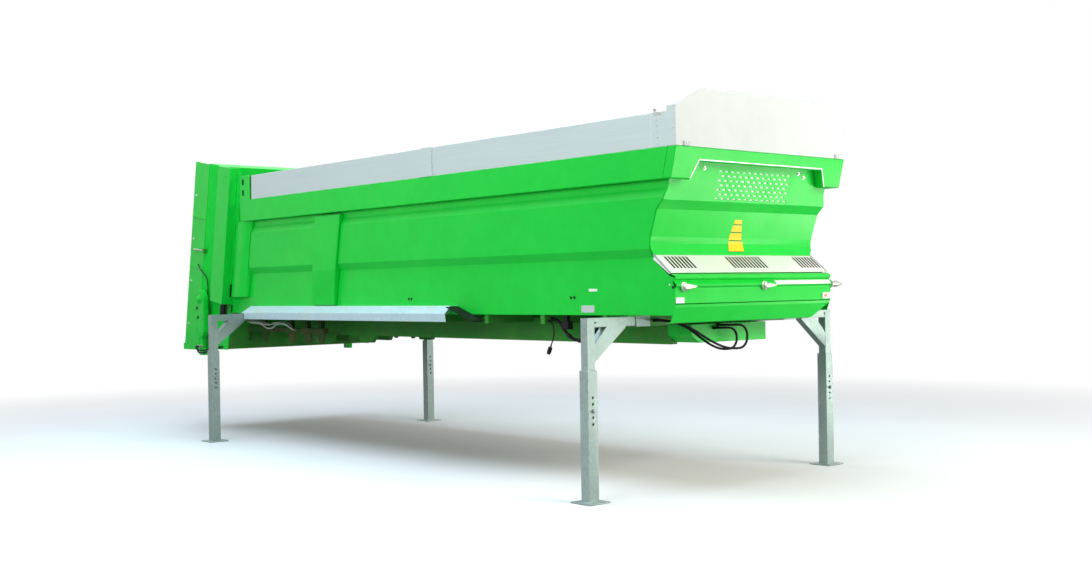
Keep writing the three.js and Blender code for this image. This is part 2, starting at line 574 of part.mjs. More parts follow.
function mudguard() {
  const bend = [[GUARD_Y - 80, GUARD_TOP_Z], [GUARD_Y, GUARD_TOP_Z - 80]];
  const line = [[GUARD_WALL_Y, GUARD_TOP_Z], ...bend, [GUARD_Y, GUARD_SKIRT_Z]];
  const profile = alongX(folded(line.slice().reverse(), 5), GUARD_REAR_X, GUARD_FRONT_X);
  const below = GUARD_SKIRT_Z - 45;
  const ends = alongY([
    [GUARD_REAR_X, below], [GUARD_REAR_X + 15, GUARD_SKIRT_Z + 3],
    [GUARD_REAR_X + 230, GUARD_TOP_Z + 10], [GUARD_FRONT_X - 30, GUARD_TOP_Z + 10],
    [GUARD_FRONT_X, below],
  ].reverse(), LOWER_Y - MARGIN, GUARD_Y + MARGIN);
  const rib = (x) => alongX([
    [GUARD_WALL_Y, GUARD_TOP_Z - 3], [GUARD_Y - 82, GUARD_TOP_Z - 3], [GUARD_Y - 3, GUARD_TOP_Z - 81],
    [GUARD_Y - 3, GUARD_TOP_Z - 112], [GUARD_WALL_Y, GUARD_TOP_Z - 72],
  ].reverse(), x, x + 8);
  const first = GUARD_REAR_X + 367;
  const last = GUARD_FRONT_X - 160;
  const ribs = [0, 1, 2, 3].map((i) => rib(first + (last - first) * i / 3));
  const overArm = box(GUARD_REAR_X - 10, LEG_REAR_X + ARM / 2 + 12, LOWER_Y - MARGIN,
    GUARD_Y + MARGIN, GUARD_SKIRT_Z - MARGIN, ARM_TOP_Z + 8);
  return join(profile.intersect(ends), ribs).subtract(overArm);
}

function mudFlap() {
  const top = [GUARD_FRONT_X - 22, GUARD_TOP_Z - 8];
  const foot = [GUARD_FRONT_X + 435, GUARD_SKIRT_Z + 3];
  const guard = box(GUARD_REAR_X, GUARD_FRONT_X + GAP, LOWER_Y - MARGIN, GUARD_Y + MARGIN,
    GUARD_SKIRT_Z - MARGIN, GUARD_TOP_Z + MARGIN);
  return alongY(folded([top, foot], 8), GUARD_WALL_Y, GUARD_Y).subtract(guard);
}

// ---- the leaning rear, built upright as [u, w] and turned as a group -----------------------------
const COLUMN_OUTER_Y = HALF + 70;
const COLUMN_REAR_U = -421;
const COLUMN_FOOT_W = 145;
const CYLINDER_U = 80;
const CYLINDER_Y = FRAME_Y + 65;
const CYLINDER_FOOT_W = -20;
const BEAM_HEIGHT = 110;            // the beam over the beaters
const BEAM_SHEET = 10;

function rearColumn() {
  const bevelU = COLUMN_FRONT_U - 330;
  const face = [
    [COLUMN_REAR_U, FRAME_Y], [bevelU, COLUMN_OUTER_Y], [COLUMN_FRONT_U, COLUMN_OUTER_Y],
  ];
  const section = folded([...face, [COLUMN_FRONT_U, FRAME_Y - 30]].reverse(), SHEET);
  const channel = alongZ(section, COLUMN_FOOT_W, FRAME_TOP_W + 10);
  const cap = alongZ([...face, [COLUMN_FRONT_U, FRAME_Y]].reverse(), FRAME_TOP_W, FRAME_TOP_W + 10);
  // the cap is open over the lifting cylinder and the door's ear
  const holeY = CYLINDER_Y + ROD_RADIUS + 8;
  const hole = alongZ([
    [-70, FRAME_Y - 130], [-70, holeY], [140, holeY], [140, FRAME_Y - 130],
  ].reverse(), FRAME_TOP_W - 50, FRAME_TOP_W + 150);
  return channel.add(cap.subtract(hole));
}

// two angles' worth of sheet, joined by the plates that carry the beaters' upper bearings
function topBeam() {
  const reach = FRAME_Y - 9.2;
  const rearU = -720;
  const frontU = -200;
  const low = FRAME_TOP_W - BEAM_HEIGHT;
  return join(
    box(rearU, frontU, -reach, reach, low, low + BEAM_SHEET),
    box(frontU - BEAM_SHEET, frontU, -reach, reach, low, FRAME_TOP_W),
    box(rearU, rearU + BEAM_SHEET, -reach, reach, low, FRAME_TOP_W),
    box(rearU, frontU, -reach, reach, FRAME_TOP_W - BEAM_SHEET, FRAME_TOP_W),
  );
}

function guillotineDoor() {
  const face = -39;
  const reach = FRAME_Y + 30;
  const ribReach = FRAME_Y - 45;
  const height = DOOR_TOP_W - DOOR_BOTTOM_W;
  const plate = box(face - 11, face + 1, -reach, reach, DOOR_BOTTOM_W, DOOR_TOP_W);
  const ribs = [0.02, 0.36, 0.7, 0.96].map((share) => {
    const w = DOOR_BOTTOM_W + height * share;
    return box(face, face + 49, -ribReach, ribReach, w, w + 50);
  });
  const ear = (side) => {
    const [low, high] = [side * (FRAME_Y - 70), side * (CYLINDER_Y + 37)].sort((a, b) => a - b);
    return box(face, CYLINDER_U + 38, low, high, DOOR_TOP_W - 50, DOOR_TOP_W);
  };
  return join(plate, ribs, ear(-1), ear(1));
}

const onCylinder = (w) => [CYLINDER_U, CYLINDER_Y, w];

function doorCylinder() {
  const barrel = bar(onCylinder(CYLINDER_FOOT_W), onCylinder(DOOR_TOP_W - 80), CYLINDER_RADIUS, 20);
  const bore = bar(onCylinder(CYLINDER_FOOT_W + 30), onCylinder(DOOR_TOP_W),
    ROD_RADIUS + SLIDING_GAP, 20);
  return barrel.subtract(bore);
}

function doorRod() {
  return bar(onCylinder(CYLINDER_FOOT_W + 45), onCylinder(DOOR_TOP_W - 50 - GAP), ROD_RADIUS, 20);
}

function cylinderFoot() {
  return box(CYLINDER_U - 60, CYLINDER_U + 60, FRAME_Y - 12, CYLINDER_Y + CYLINDER_RADIUS,
    CYLINDER_FOOT_W - 60, CYLINDER_FOOT_W - GAP);
}

const BASE_FRONT_U = 150;

function spreaderSide() {
  const line = [
    [SIDE_REAR_U, HALF - 60], [SIDE_REAR_U, HALF], [-550, HALF], [COLUMN_REAR_U - 1, FRAME_Y],
  ];
  const low = -SIDE_DROP - MARGIN;
  const wall = alongZ(folded(line.slice().reverse(), SIDE_SHEET), low, FRAME_TOP_W);
  const skirtLine = [...line, [BASE_FRONT_U, FRAME_Y - 3]].reverse();
  const skirt = alongZ(folded(skirtLine, SIDE_SHEET), low, COLUMN_FOOT_W - 5);
  const bottom = SILL_Z - SIDE_DROP;
  const level = (x0, x1, z0, z1, y0) => alongY(
    [[x0, z0], [x1, z0], [x1, z1], [x0, z1]].map(toLeaned), y0, HALF);
  const under = alongY([
    [FLANGE_REAR_X - MARGIN, bottom - 2 * MARGIN], [LEAN_FOOT[0] + 2 * MARGIN, bottom - 2 * MARGIN],
    [LEAN_FOOT[0] + 2 * MARGIN, bottom], [FLANGE_REAR_X - MARGIN, bottom],
  ].map(toLeaned), 0, HALF + MARGIN);
  const flange = level(FLANGE_REAR_X, FLANGE_REAR_X + 465, bottom - 14, bottom + 76, HALF - 80);
  const foot = level(FLANGE_REAR_X + 475, FLANGE_REAR_X + 595, bottom - 84, bottom + 40, HALF - 70);
  const heel = level(FLANGE_REAR_X + 460, FLANGE_REAR_X + 600, bottom - 14, bottom + 40, HALF - 70);
  return join(join(wall, skirt).subtract(under), flange, foot, heel, cylinderFoot());
}

// the gear case that drives the scraper chain, upright on the outside of the right-hand frame
function chainDrive() {
  const radius = 130;
  const x = -462 - BODY_LENGTH;
  const shaftZ = SILL_Z + 189;
  const motorZ = SILL_Z - 214;
  const back = HALF + GAP;
  const front = HALF + 62;
  const outline = [
    ...arc(x, shaftZ, radius, 0, Math.PI, 12),
    ...arc(x, motorZ, radius, Math.PI, Math.PI * 2, 12),
  ];
  const housing = alongY(outline, back, front);
  const motor = bar([x, front - 7, motorZ], [x, front + 6, motorZ], 84, 24);
  const ports = box(x - 40, x + 40, back, front - 12, motorZ - 290, motorZ - 120);
  return join(housing, motor, ports);
}

const DECK_W = -430;                // upper face of the deck under the throwing discs
const DECK_THICKNESS = 40;

function spreaderBase() {
  const reach = FRAME_Y - 14;
  const deckBottom = DECK_W - DECK_THICKNESS;
  const gearboxY = BEATER_SPACING / 2 + 180;
  const deck = box(-930, 1 - BASE_FRONT_U, -reach, reach, deckBottom, DECK_W);
  const gearbox = box(BEATER_U - 160, BEATER_U + 160, -gearboxY, gearboxY, -585, deckBottom + 1);
  const crossBox = box(-BASE_FRONT_U, BASE_FRONT_U, -reach, reach, deckBottom + 1, -25);
  return join(deck, gearbox, crossBox);
}

function beater(side) {
  const low = DECK_W + 2 * GAP;
  const high = FRAME_TOP_W - BEAM_HEIGHT - 2 * GAP;
  const discTop = low + 34;
  const tube = bar([0, 0, low], [0, 0, high], BEATER_TUBE_RADIUS, 24);
  const disc = bar([0, 0, discTop - 14], [0, 0, discTop], DISC_RADIUS, 32);
  const bladeLength = DISC_RADIUS - 130;
  const blades = [0, 1, 2, 3].map((i) => {
    const blade = new THREE.BoxGeometry(bladeLength, 12, 110);
    blade.translate(DISC_RADIUS - 5 - bladeLength / 2, 0, discTop + 54);
    return solid(blade.rotateZ(Math.PI / 2 * (i + 0.5)));
  });
  return join(tube, disc, blades, flight(discTop + 186, high - 120, side));
}

// a screw flight around the z axis, as one closed ribbon
function flight(low, high, hand) {
  const turns = 2.75;
  const steps = 66;
  const inner = BEATER_TUBE_RADIUS - 5;
  const thickness = 14;
  const corners = [];
  for (let i = 0; i <= steps; i += 1) {
    const angle = hand * turns * 2 * Math.PI * i / steps;
    const z = low + (high - low) * i / steps;
    for (const [radius, rise] of [[inner, 0], [BEATER_RADIUS, 0], [BEATER_RADIUS, thickness],
      [inner, thickness]]) {
      corners.push(radius * Math.cos(angle), radius * Math.sin(angle), z + rise);
    }
  }
  const index = [];
  const quad = (a, b, c, d) => index.push(a, b, c, a, c, d);
  for (let i = 0; i < steps; i += 1) {
    for (let k = 0; k < 4; k += 1) {
      const a = i * 4 + k;
      const b = i * 4 + (k + 1) % 4;
      quad(a, b, b + 4, a + 4);
    }
  }
  quad(3, 2, 1, 0);
  quad(steps * 4, steps * 4 + 1, steps * 4 + 2, steps * 4 + 3);
  if (hand > 0) index.reverse();
  const geometry = new THREE.BufferGeometry();
  geometry.setAttribute('position', new THREE.BufferAttribute(new Float32Array(corners), 3));
  geometry.setIndex(index);
  return solid(geometry);
}

// ---- hoses and cables ---------------------------------------------------------------------------
const HOSE_DIAMETER = 22;
const BUNDLE_DIAMETER = 30;
const LAMP_CABLE_DIAMETER = 12;
// the two drive hoses hang from the front of the leg socket to the face of the front box
const HOSE_REAR = [
  [-586.4, -860, 1572], [-560, -860, 1572], [-516, -858, 1571], [-474, -846, 1566],
  [-436, -826, 1557], [-404, -798, 1544], [-380, -765, 1528], [-364, -728, 1510],
  [-356, -689, 1490], [-354, -650, 1469], [-354, -612, 1448], [-354, -573, 1426],
  [-354, -535, 1404], [-354, -496, 1382], [-354, -457, 1361], [-354, -418, 1342],
  [-354, -377, 1325], [-354, -335, 1310], [-354, -293, 1298], [-354, -249, 1290],
  [-354, -205, 1286], [-354, -161, 1286], [-354, -117, 1288], [-354, -76, 1303],
  [-354, -46, 1335], [-354, -32, 1376], [-354, -38, 1420], [-354, -62, 1456], [-354, -100, 1479],
  [-356, -144, 1484], [-371, -185, 1484], [-402, -216, 1484], [-444, -232, 1484],
  [-469.6, -232, 1484],
];
const HOSE_FRONT = [
  [-586.4, -905, 1572], [-560, -905, 1572], [-513, -903, 1571], [-467, -891, 1567],
  [-425, -871, 1560], [-388, -843, 1549], [-358, -808, 1536], [-336, -769, 1521],
  [-322, -727, 1504], [-317, -683, 1485], [-316, -640, 1466], [-316, -597, 1446],
  [-316, -554, 1425], [-316, -511, 1405], [-316, -468, 1385], [-316, -424, 1366],
  [-316, -380, 1349], [-316, -335, 1332], [-316, -290, 1318], [-316, -244, 1306],
  [-316, -197, 1297], [-316, -150, 1292], [-316, -102, 1289], [-316, -55, 1289],
  [-316, -7, 1293], [-316, 35, 1314], [-316, 64, 1351], [-316, 75, 1397], [-316, 66, 1443],
  [-316, 38, 1481], [-316, -3, 1504], [-318, -50, 1509], [-331, -96, 1509], [-359, -134, 1509],
  [-398, -161, 1509], [-444, -174, 1509], [-469.6, -174, 1509],
];
// a bundle of leads sags between two cross-members under the right-hand sill
const CABLE_BUNDLE = [
  [-1875.6, -1000, 1575], [-1846, -1000, 1575], [-1802, -1001, 1568], [-1762, -1002, 1548],
  [-1731, -1003, 1517], [-1702, -1003, 1483], [-1671, -1004, 1451], [-1636, -1004, 1424],
  [-1597, -1005, 1402], [-1556, -1005, 1386], [-1512, -1005, 1376], [-1468, -1005, 1373],
  [-1424, -1005, 1376], [-1380, -1005, 1386], [-1339, -1005, 1402], [-1300, -1004, 1424],
  [-1265, -1004, 1451], [-1234, -1003, 1483], [-1205, -1003, 1517], [-1174, -1002, 1548],
  [-1134, -1001, 1568], [-1090, -1000, 1575], [-1060.4, -1000, 1575],
];
// the lamp lead hangs free and ends in its plug
const LAMP_CABLE = [
  [-1875.6, -1050, 1560], [-1855, -1050, 1560], [-1832, -1051, 1551], [-1812, -1052, 1532],
  [-1798, -1053, 1508], [-1790, -1054, 1480], [-1788, -1055, 1450], [-1791, -1056, 1420],
  [-1798, -1057, 1392], [-1808, -1058, 1366], [-1819, -1059, 1342], [-1828, -1060, 1322],
];

function hose(points, diameter, steps, sides = 8) {
  const path = new THREE.CatmullRomCurve3(points.map((p) => new THREE.Vector3(...p)));
  const ring = arc(0, 0, diameter / 2, 0, Math.PI * 2 * (1 - 1 / sides), sides - 1);
  const shape = new THREE.Shape(ring.map(([a, b]) => new THREE.Vector2(a, b)));
  return solid(new THREE.ExtrudeGeometry(shape, { steps, extrudePath: path, bevelEnabled: false }));
}

// the plug continues the way that its lead points
function lampPlug() {
  const end = new THREE.Vector3(...LAMP_CABLE.at(-1));
  const way = end.clone().sub(new THREE.Vector3(...LAMP_CABLE.at(-2))).normalize();
  const at = (distance) => end.clone().addScaledVector(way, distance).toArray();
  return join(
    bar(at(GAP), at(24), LAMP_CABLE_DIAMETER / 2 + 3, 12),
    bar(at(22), at(78), 21, 16),
    bar(at(76), at(92), 17, 16),
  );
}

// ---- assembly -----------------------------------------------------------------------------------
const machine = new THREE.Group();
machine.position.x = (-FLANGE_REAR_X - CLAMP_REACH) / 2;

machine.add(
  ...bothSides('side_wall', sideWall, GREEN),
  ...bothSides('mid_post', midPost, GREEN),
  ...bothSides('rear_post', rearPost, GREEN),
  ...bothSides('top_rail', topRail, GREEN),
  ...bothSides('side_board', sideBoard, ALUMINIUM),
  ...bothSides('board_stake', boardStake, ALUMINIUM),
  piece('headboard', headboard(), WHITE),
  piece('front_rail', frontRail(), GREEN),
  piece('front_wall', frontWall(), GREEN),
  piece('step_shelf', stepShelf(), ALUMINIUM),
  piece('front_cover', frontCover(), GREEN),
  piece('lower_cover', lowerCover(), GREEN),
  piece('floor', floorPlate(), GREEN_DARK),
  piece('floor_chain', floorChain(), GALVANISED),
  piece('subframe', subframe(), GREEN_DARK),
  piece('front_box', frontBox(), GREEN),
  ...bothSides('mudguard', mudguard, GALVANISED),
  ...bothSides('mud_flap', mudFlap, BLACK),
);
for (const [end, x] of [['front', LEG_FRONT_X], ['rear', LEG_REAR_X]]) {
  machine.add(
    ...bothSides(`leg_bracket_${end}`, () => legBracket(x), GALVANISED),
    ...bothSides(`leg_tube_${end}`, () => legTube(x), GALVANISED),
  );
}

machine.add(
  piece('chain_drive', chainDrive(), GREEN, -1),
  piece('drive_hose_rear', hose(HOSE_REAR, HOSE_DIAMETER, 34), BLACK),
  piece('drive_hose_front', hose(HOSE_FRONT, HOSE_DIAMETER, 34), BLACK),
  piece('cable_bundle', hose(CABLE_BUNDLE, BUNDLE_DIAMETER, 20), BLACK),
  piece('lamp_cable', hose(LAMP_CABLE, LAMP_CABLE_DIAMETER, 14), BLACK),
  piece('lamp_plug', lampPlug(), BLACK),
);

const rear = new THREE.Group();
rear.position.set(LEAN_FOOT[0], 0, LEAN_FOOT[1]);
rear.rotation.y = LEAN;
rear.add(
  ...bothSides('rear_column', rearColumn, GREEN),
  piece('top_beam', topBeam(), GREEN),
  piece('guillotine_door', guillotineDoor(), GREEN),
  ...bothSides('door_cylinder', doorCylinder, BLACK),
  ...bothSides('door_rod', doorRod, CHROME),
  ...bothSides('spreader_side', spreaderSide, GREEN),
  piece('spreader_base', spreaderBase(), GREEN_DARK),
);
for (const [word, side] of SIDES) {
  const rotor = piece(`beater_${word}`, beater(side), GREEN);
  rotor.position.set(BEATER_U, side * BEATER_SPACING / 2, 0);
  rear.add(rotor);
}
machine.add(rear);

const group = new THREE.Group();
group.add(machine);
export default group;
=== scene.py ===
# %% [markdown]
# # A manure spreader body on its parking legs
# The object is a steel load body, about nine and a half metres long, that a carrier vehicle can
# drive under. At its rear stand two upright beaters behind a lifting door, and four galvanised
# legs hold it while it is parked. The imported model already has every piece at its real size. This
# lesson gives each piece its real edges and finish, and adds what is too small for the model.

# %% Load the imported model
import json
import math

import bmesh
import bpy
from mathutils import Matrix, Vector

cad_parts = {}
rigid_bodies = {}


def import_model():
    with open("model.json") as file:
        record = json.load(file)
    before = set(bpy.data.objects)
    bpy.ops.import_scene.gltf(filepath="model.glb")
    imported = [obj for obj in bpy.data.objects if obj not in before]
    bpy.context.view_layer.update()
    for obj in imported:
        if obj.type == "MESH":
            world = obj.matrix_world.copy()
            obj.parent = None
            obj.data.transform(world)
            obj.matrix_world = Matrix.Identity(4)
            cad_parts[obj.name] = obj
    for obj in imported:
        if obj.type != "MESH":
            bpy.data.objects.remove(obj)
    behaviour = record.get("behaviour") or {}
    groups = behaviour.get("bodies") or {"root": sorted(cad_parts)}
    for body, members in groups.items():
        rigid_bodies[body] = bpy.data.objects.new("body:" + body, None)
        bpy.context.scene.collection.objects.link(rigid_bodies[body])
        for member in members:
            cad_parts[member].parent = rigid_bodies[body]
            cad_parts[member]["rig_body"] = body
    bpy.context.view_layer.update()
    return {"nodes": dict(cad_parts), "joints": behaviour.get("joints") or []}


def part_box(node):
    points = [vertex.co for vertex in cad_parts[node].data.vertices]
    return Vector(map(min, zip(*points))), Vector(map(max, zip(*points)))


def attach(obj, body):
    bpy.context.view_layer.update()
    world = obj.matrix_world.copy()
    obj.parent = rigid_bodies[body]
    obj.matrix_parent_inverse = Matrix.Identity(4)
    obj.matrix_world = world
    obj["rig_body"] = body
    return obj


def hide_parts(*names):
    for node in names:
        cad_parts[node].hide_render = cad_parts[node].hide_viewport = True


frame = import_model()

nodes = frame["nodes"]
front_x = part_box("front_rail")[1].x
joint = {j["name"]: j for j in frame["joints"]}
print("nodes", len(nodes), "front rail face at x =", round(front_x, 4))

# %% [markdown]
# ## Two ways to say where something is
# On the machine, lengths are measured back from the face of the front rail, so `at` takes such a
# length. The rear unit leans forward by almost ten degrees. Its own axes come from the door's
# slide, which runs up the leaning columns, and `leaned` takes a place along and up those axes.

# %% Places on the machine
SIDES = (("right", -1), ("left", 1))
UP = Vector(joint["door_lift"]["axis"]).normalized()
FORWARD = Vector((UP.z, 0, -UP.x))
SILL = 1.62                      # lower edge of the side walls
LEG_XS = (-635, -7646)           # the middle of the front and the rear legs, in millimetres
LEG_Y = 1683
FOOT = Vector((front_x - 8.4, 0, SILL))


def at(x, y, z):
    return Vector((front_x + x, y, z))


def leaned(u, y, w):
    return FOOT + FORWARD * u + UP * w + Vector((0, y, 0))


print("the rear unit leans", round(math.degrees(math.atan2(UP.x, UP.z)), 2), "degrees")

# %% [markdown]
# ## The camera
# The viewer stands out from the machine's front right corner, at the height of an eye, eleven
# metres off. A camera looks down its own negative Z, so three turns place it: to its heading,
# up from the ground and a degree of roll. The other way, a Track To constraint, would leave
# the camera depending on another object.

# %% The camera
HEADING, PITCH, ROLL = (math.radians(a) for a in (48.87, -0.073, -0.966))
camera_data = bpy.data.cameras.new("camera")
camera_data.sensor_width = 36
camera_data.lens = 43.08
camera_data.clip_end = 200
camera = bpy.data.objects.new("camera", camera_data)
camera.matrix_world = (
    Matrix.Translation(at(7.7107, -9.4440, 1.8782))
    @ Matrix.Rotation(HEADING, 4, "Z")
    @ Matrix.Rotation(math.pi / 2 + PITCH, 4, "X")
    @ Matrix.Rotation(ROLL, 4, "Z")
)
bpy.context.scene.collection.objects.link(camera)
bpy.context.scene.camera = camera
print("camera at", [round(v, 2) for v in camera.location])

# %% [markdown]
# ## Small helpers for node trees
# A material and a Geometry Nodes tree are both lists of nodes with settings and links, so one
# small function can add a node to either. A key is an input's name or its number, because some
# nodes have two inputs of one name.

# %% One function adds any node


def link(tree, source, target):
    """Links a socket. A node stands for its first output in use."""
    if isinstance(source, bpy.types.Node):
        source = next(output for output in source.outputs if output.enabled)
    tree.links.new(source, target)


def add(tree, kind, settings=None, links=None):
    """Adds a node. Settings are its properties or input values, links feed its inputs."""
    node = tree.nodes.new(kind)
    for key, value in (settings or {}).items():
        if isinstance(key, str) and hasattr(node, key):
            setattr(node, key, value)
        else:
            node.inputs[key].default_value = value
    for key, source in (links or {}).items():
        link(tree, source, node.inputs[key])
    return node


def linear(code, alpha=1.0):
    """An sRGB hex colour as the linear values that Blender's sockets take."""
    channels = [int(code[i:i + 2], 16) / 255 for i in (1, 3, 5)]
    bent = [c / 12.92 if c <= 0.04045 else ((c + 0.055) / 1.055) ** 2.4 for c in channels]
    return (*bent, alpha)


MM = 0.001
print("mid grey is", round(linear("#808080")[0], 3), "in linear light")

# %% [markdown]
# ## Finishes
# Every finish starts from the same parts: a Principled shader, noise on Object coordinates, and
# ramps that turn the noise into colour, roughness and bump. Noise scales come from real sizes:
# a pattern of so many millimetres has a scale of one over that length in metres. Each function
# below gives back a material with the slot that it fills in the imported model.

# %% The start of every finish


def start(name):
    material = bpy.data.materials.new(name)
    material.use_nodes = True
    tree = material.node_tree
    tree.nodes.clear()
    place = add(tree, "ShaderNodeTexCoord").outputs["Object"]
    shader = add(tree, "ShaderNodeBsdfPrincipled")
    add(tree, "ShaderNodeOutputMaterial", links={"Surface": shader.outputs[0]})
    return material, tree, place, shader


def pattern(tree, place, size_mm, detail, low, high, rough=0.55, start_value=0.0, end_value=1.0):
    """Patches about size_mm wide: noise, with its values between low and high spread out."""
    grain = add(tree, "ShaderNodeTexNoise",
                {"Scale": 1 / (size_mm * MM), "Detail": detail, "Roughness": rough},
                {"Vector": place})
    return add(tree, "ShaderNodeMapRange", {1: low, 2: high, 3: start_value, 4: end_value},
               {0: grain})


def worn_edges(tree, place, size_mm, detail, low, high, rough=0.55):
    """The same kind of patches, on the rounded edges only."""
    edge = add(tree, "ShaderNodeAttribute", {"attribute_name": "edge"})
    rubbed = pattern(tree, place, size_mm, detail, low, high, rough)
    return add(tree, "ShaderNodeMath", {"operation": "MULTIPLY"},
               {0: edge.outputs["Fac"], 1: rubbed})


def laid(tree, under, over, mask, share=1.0):
    """One colour laid over another where the mask is. Each is a hex code or a node."""
    amount = add(tree, "ShaderNodeMath", {"operation": "MULTIPLY", 1: share}, {0: mask})
    codes, sources = {}, {0: amount}
    for index, colour in ((6, under), (7, over)):
        if isinstance(colour, str):
            codes[index] = linear(colour)
        else:
            sources[index] = colour
    return add(tree, "ShaderNodeMix", {"data_type": "RGBA", **codes}, sources)


def relief(tree, place, size_mm, depth_mm, strength, under=None):
    """Bumps about size_mm wide, on top of any that lie under them."""
    grain = add(tree, "ShaderNodeTexNoise",
                {"Scale": 1 / (size_mm * MM), "Detail": 2, "Roughness": 0.55}, {"Vector": place})
    sources = {"Height": grain}
    if under:
        sources["Normal"] = under
    return add(tree, "ShaderNodeBump", {"Distance": depth_mm * MM, "Strength": strength}, sources)


def feed(tree, shader, colour, gloss, normal, **values):
    """Feeds a shader its colour, roughness and normal, and sets its other inputs."""
    for name, source in (("Base Color", colour), ("Roughness", gloss), ("Normal", normal)):
        if source:
            link(tree, source, shader.inputs[name])
    for name, value in values.items():
        shader.inputs[name.replace("_", " ")].default_value = value


print("finishes read Object coordinates, in metres")

# %% [markdown]
# ## Paint
# The body is two-pack gloss paint over primer. It gives a saturated colour under a clear gloss,
# with orange peel: a wave a few millimetres long that softens each reflection. Peel that fine
# can't be seen from eleven metres, so the wave here is 25 mm long. Slightly paler and yellower
# patches are painted reflection: they stand for the mottled reflections of the surroundings. Wear
# shows on the folded edges only: those faces carry an `edge` value of one, and noise breaks the
# wear up.

# %% Paint


def paint(name, slot, colour, paling, shade, roughness, peel_mm, worn, bare, dust="#8f8a6c",
          dirt=0.0):
    material, tree, place, shader = start(name)
    # painted reflection: paler, yellower patches stand for the mottled reflections of the surroundings
    colour = laid(tree, colour, paling, pattern(tree, place, 900, 2, 0.42, 0.66))
    colour = laid(tree, colour, shade, pattern(tree, place, 160, 4, 0.35, 0.75), 0.45)
    if dirt:
        height = add(tree, "ShaderNodeSeparateXYZ", links={0: place}).outputs[2]
        low = add(tree, "ShaderNodeMapRange", {1: 1.0, 2: 2.1, 3: 1.0, 4: 0.25}, {0: height})
        splashes = pattern(tree, place, 110, 5, 0.44, 0.72, 0.65)
        film = add(tree, "ShaderNodeMath", {"operation": "MULTIPLY"}, {0: low, 1: splashes})
        colour = laid(tree, colour, dust, film, dirt)
    chips = worn_edges(tree, place, 35, 5, 0.72 - worn, 0.78 - worn, 0.7)
    colour = laid(tree, colour, bare, chips)
    gloss = pattern(tree, place, 240, 4, 0.3, 0.7, 0.55, roughness - 0.05, roughness + 0.08)
    peel = relief(tree, place, peel_mm, 0.5, 0.3)
    feed(tree, shader, colour, gloss, relief(tree, place, 7, 0.15, 0.35, peel), IOR=1.5,
         Specular_IOR_Level=0.22, Coat_Weight=0.06, Coat_Roughness=0.15)
    return material, slot


GREEN_PAINT = paint(
    "green gloss paint", "green_paint", "#08cc3a", "#14d03c", "#06bd36", 0.34, 25, 0.05, "#4fd36a",
    dirt=0.06)
CHASSIS_PAINT = paint(
    "dark green chassis paint", "dark_green_paint", "#2b8a2a", "#3a9430", "#1f7524", 0.5, 30, 0.08,
    "#4c6b46", dust="#6d6242", dirt=0.45)
# Dark soiled paint for the lugs under the body: brown dirt, and a darkness that paints the shade under
# the body.
SOILED_SHADED_PAINT = paint(
    "soiled chassis paint with painted shade", "dark_green_paint", "#1d521d", "#3c3a1c", "#123a14", 0.7, 30, 0.08,
    "#4c6b46", dust="#5d4526", dirt=0.9)
BEATER_PAINT = paint(
    "worn beater paint", "beater_paint", "#0fb838", "#2bc045", "#0a9a2f", 0.42, 25, 0.26, "#8c8a84",
    dust="#6f5b3c", dirt=0.35)
WHITE_COAT = paint(
    "white powder coat", "white_panel", "#cfd4d5", "#cacfd0", "#d4d9d9", 0.38, 18, 0.04, "#b9bdbd")
BLACK_PAINT = paint(
    "black satin paint", "black_paint", "#1c1d1f", "#24262a", "#151617", 0.42, 20, 0.10, "#6c6e70")
YELLOW_VINYL = paint(
    "yellow gloss vinyl", "green_paint", "#ffd21a", "#f9cb12", "#ffd93a", 0.3, 40, 0.0, "#ffd21a")
WHITE_VINYL = paint(
    "white vinyl", "white_panel", "#f4f4f2", "#ececea", "#fafaf8", 0.35, 40, 0.0, "#d8d8d4")
print("paints made:", sum("paint" in m.name for m in bpy.data.materials))

# %% [markdown]
# ## Bare and coated metals
# Hot-dip galvanising freezes into spangle, flat crystals 10 to 20 mm wide with slightly different
# greys and gloss, so a Voronoi cell gives each its own value. Aluminium board is extruded: fine
# lines run along it, and rolling leaves broad, soft bands. A zinc-plated bolt is a brighter and
# yellower grey, and a cylinder rod is ground hard chrome. Metals keep the default IOR.

# %% Metals


def metal(name, slot, dark, light, roughness, pattern_mm, kind="noise", stretch=None, tint=None,
          tint_share=0.2, edge_light=None, metallic=0.9):
    material, tree, place, shader = start(name)
    along_it = add(tree, "ShaderNodeMapping", {"Scale": stretch or (1, 1, 1)}, {"Vector": place})
    if kind == "spangle":
        wobble = pattern(tree, place, pattern_mm * 0.8, 2, 0, 1, 0.55, 0, pattern_mm * MM * 0.7)
        shift = add(tree, "ShaderNodeVectorMath", {"operation": "SCALE", 0: (1, 1, 1)}, {3: wobble})
        moved = add(tree, "ShaderNodeVectorMath", {"operation": "ADD"}, {0: place, 1: shift})
        cells = add(tree, "ShaderNodeTexVoronoi", {"Scale": 1 / (pattern_mm * MM)},
                    {"Vector": moved})
        grain = add(tree, "ShaderNodeSeparateColor", links={0: cells.outputs["Color"]})
    else:
        grain = pattern(tree, along_it, pattern_mm, 4, 0.3, 0.7, 0.6)
    broad = pattern(tree, along_it, 450, 3, 0.35, 0.7, 0.5, 0, 0.4)
    mixed = add(tree, "ShaderNodeMath", {"operation": "MULTIPLY_ADD", 1: 0.6},
                {0: grain, 2: broad})
    colour = laid(tree, dark, light, mixed)
    if tint:
        stain = pattern(tree, place, 130, 5, 0.68 - tint_share, 0.8 - tint_share, 0.7)
        colour = laid(tree, colour, tint, stain, 0.75)
    if edge_light:
        colour = laid(tree, colour, edge_light, worn_edges(tree, place, 40, 4, 0.45, 0.6))
    gloss = add(tree, "ShaderNodeMapRange", {3: roughness - 0.07, 4: roughness + 0.09}, {0: grain})
    normal = add(tree, "ShaderNodeBump", {"Distance": 0.2 * MM, "Strength": 0.25},
                 {"Height": grain})
    feed(tree, shader, colour, gloss, normal, Metallic=metallic)
    return material, slot


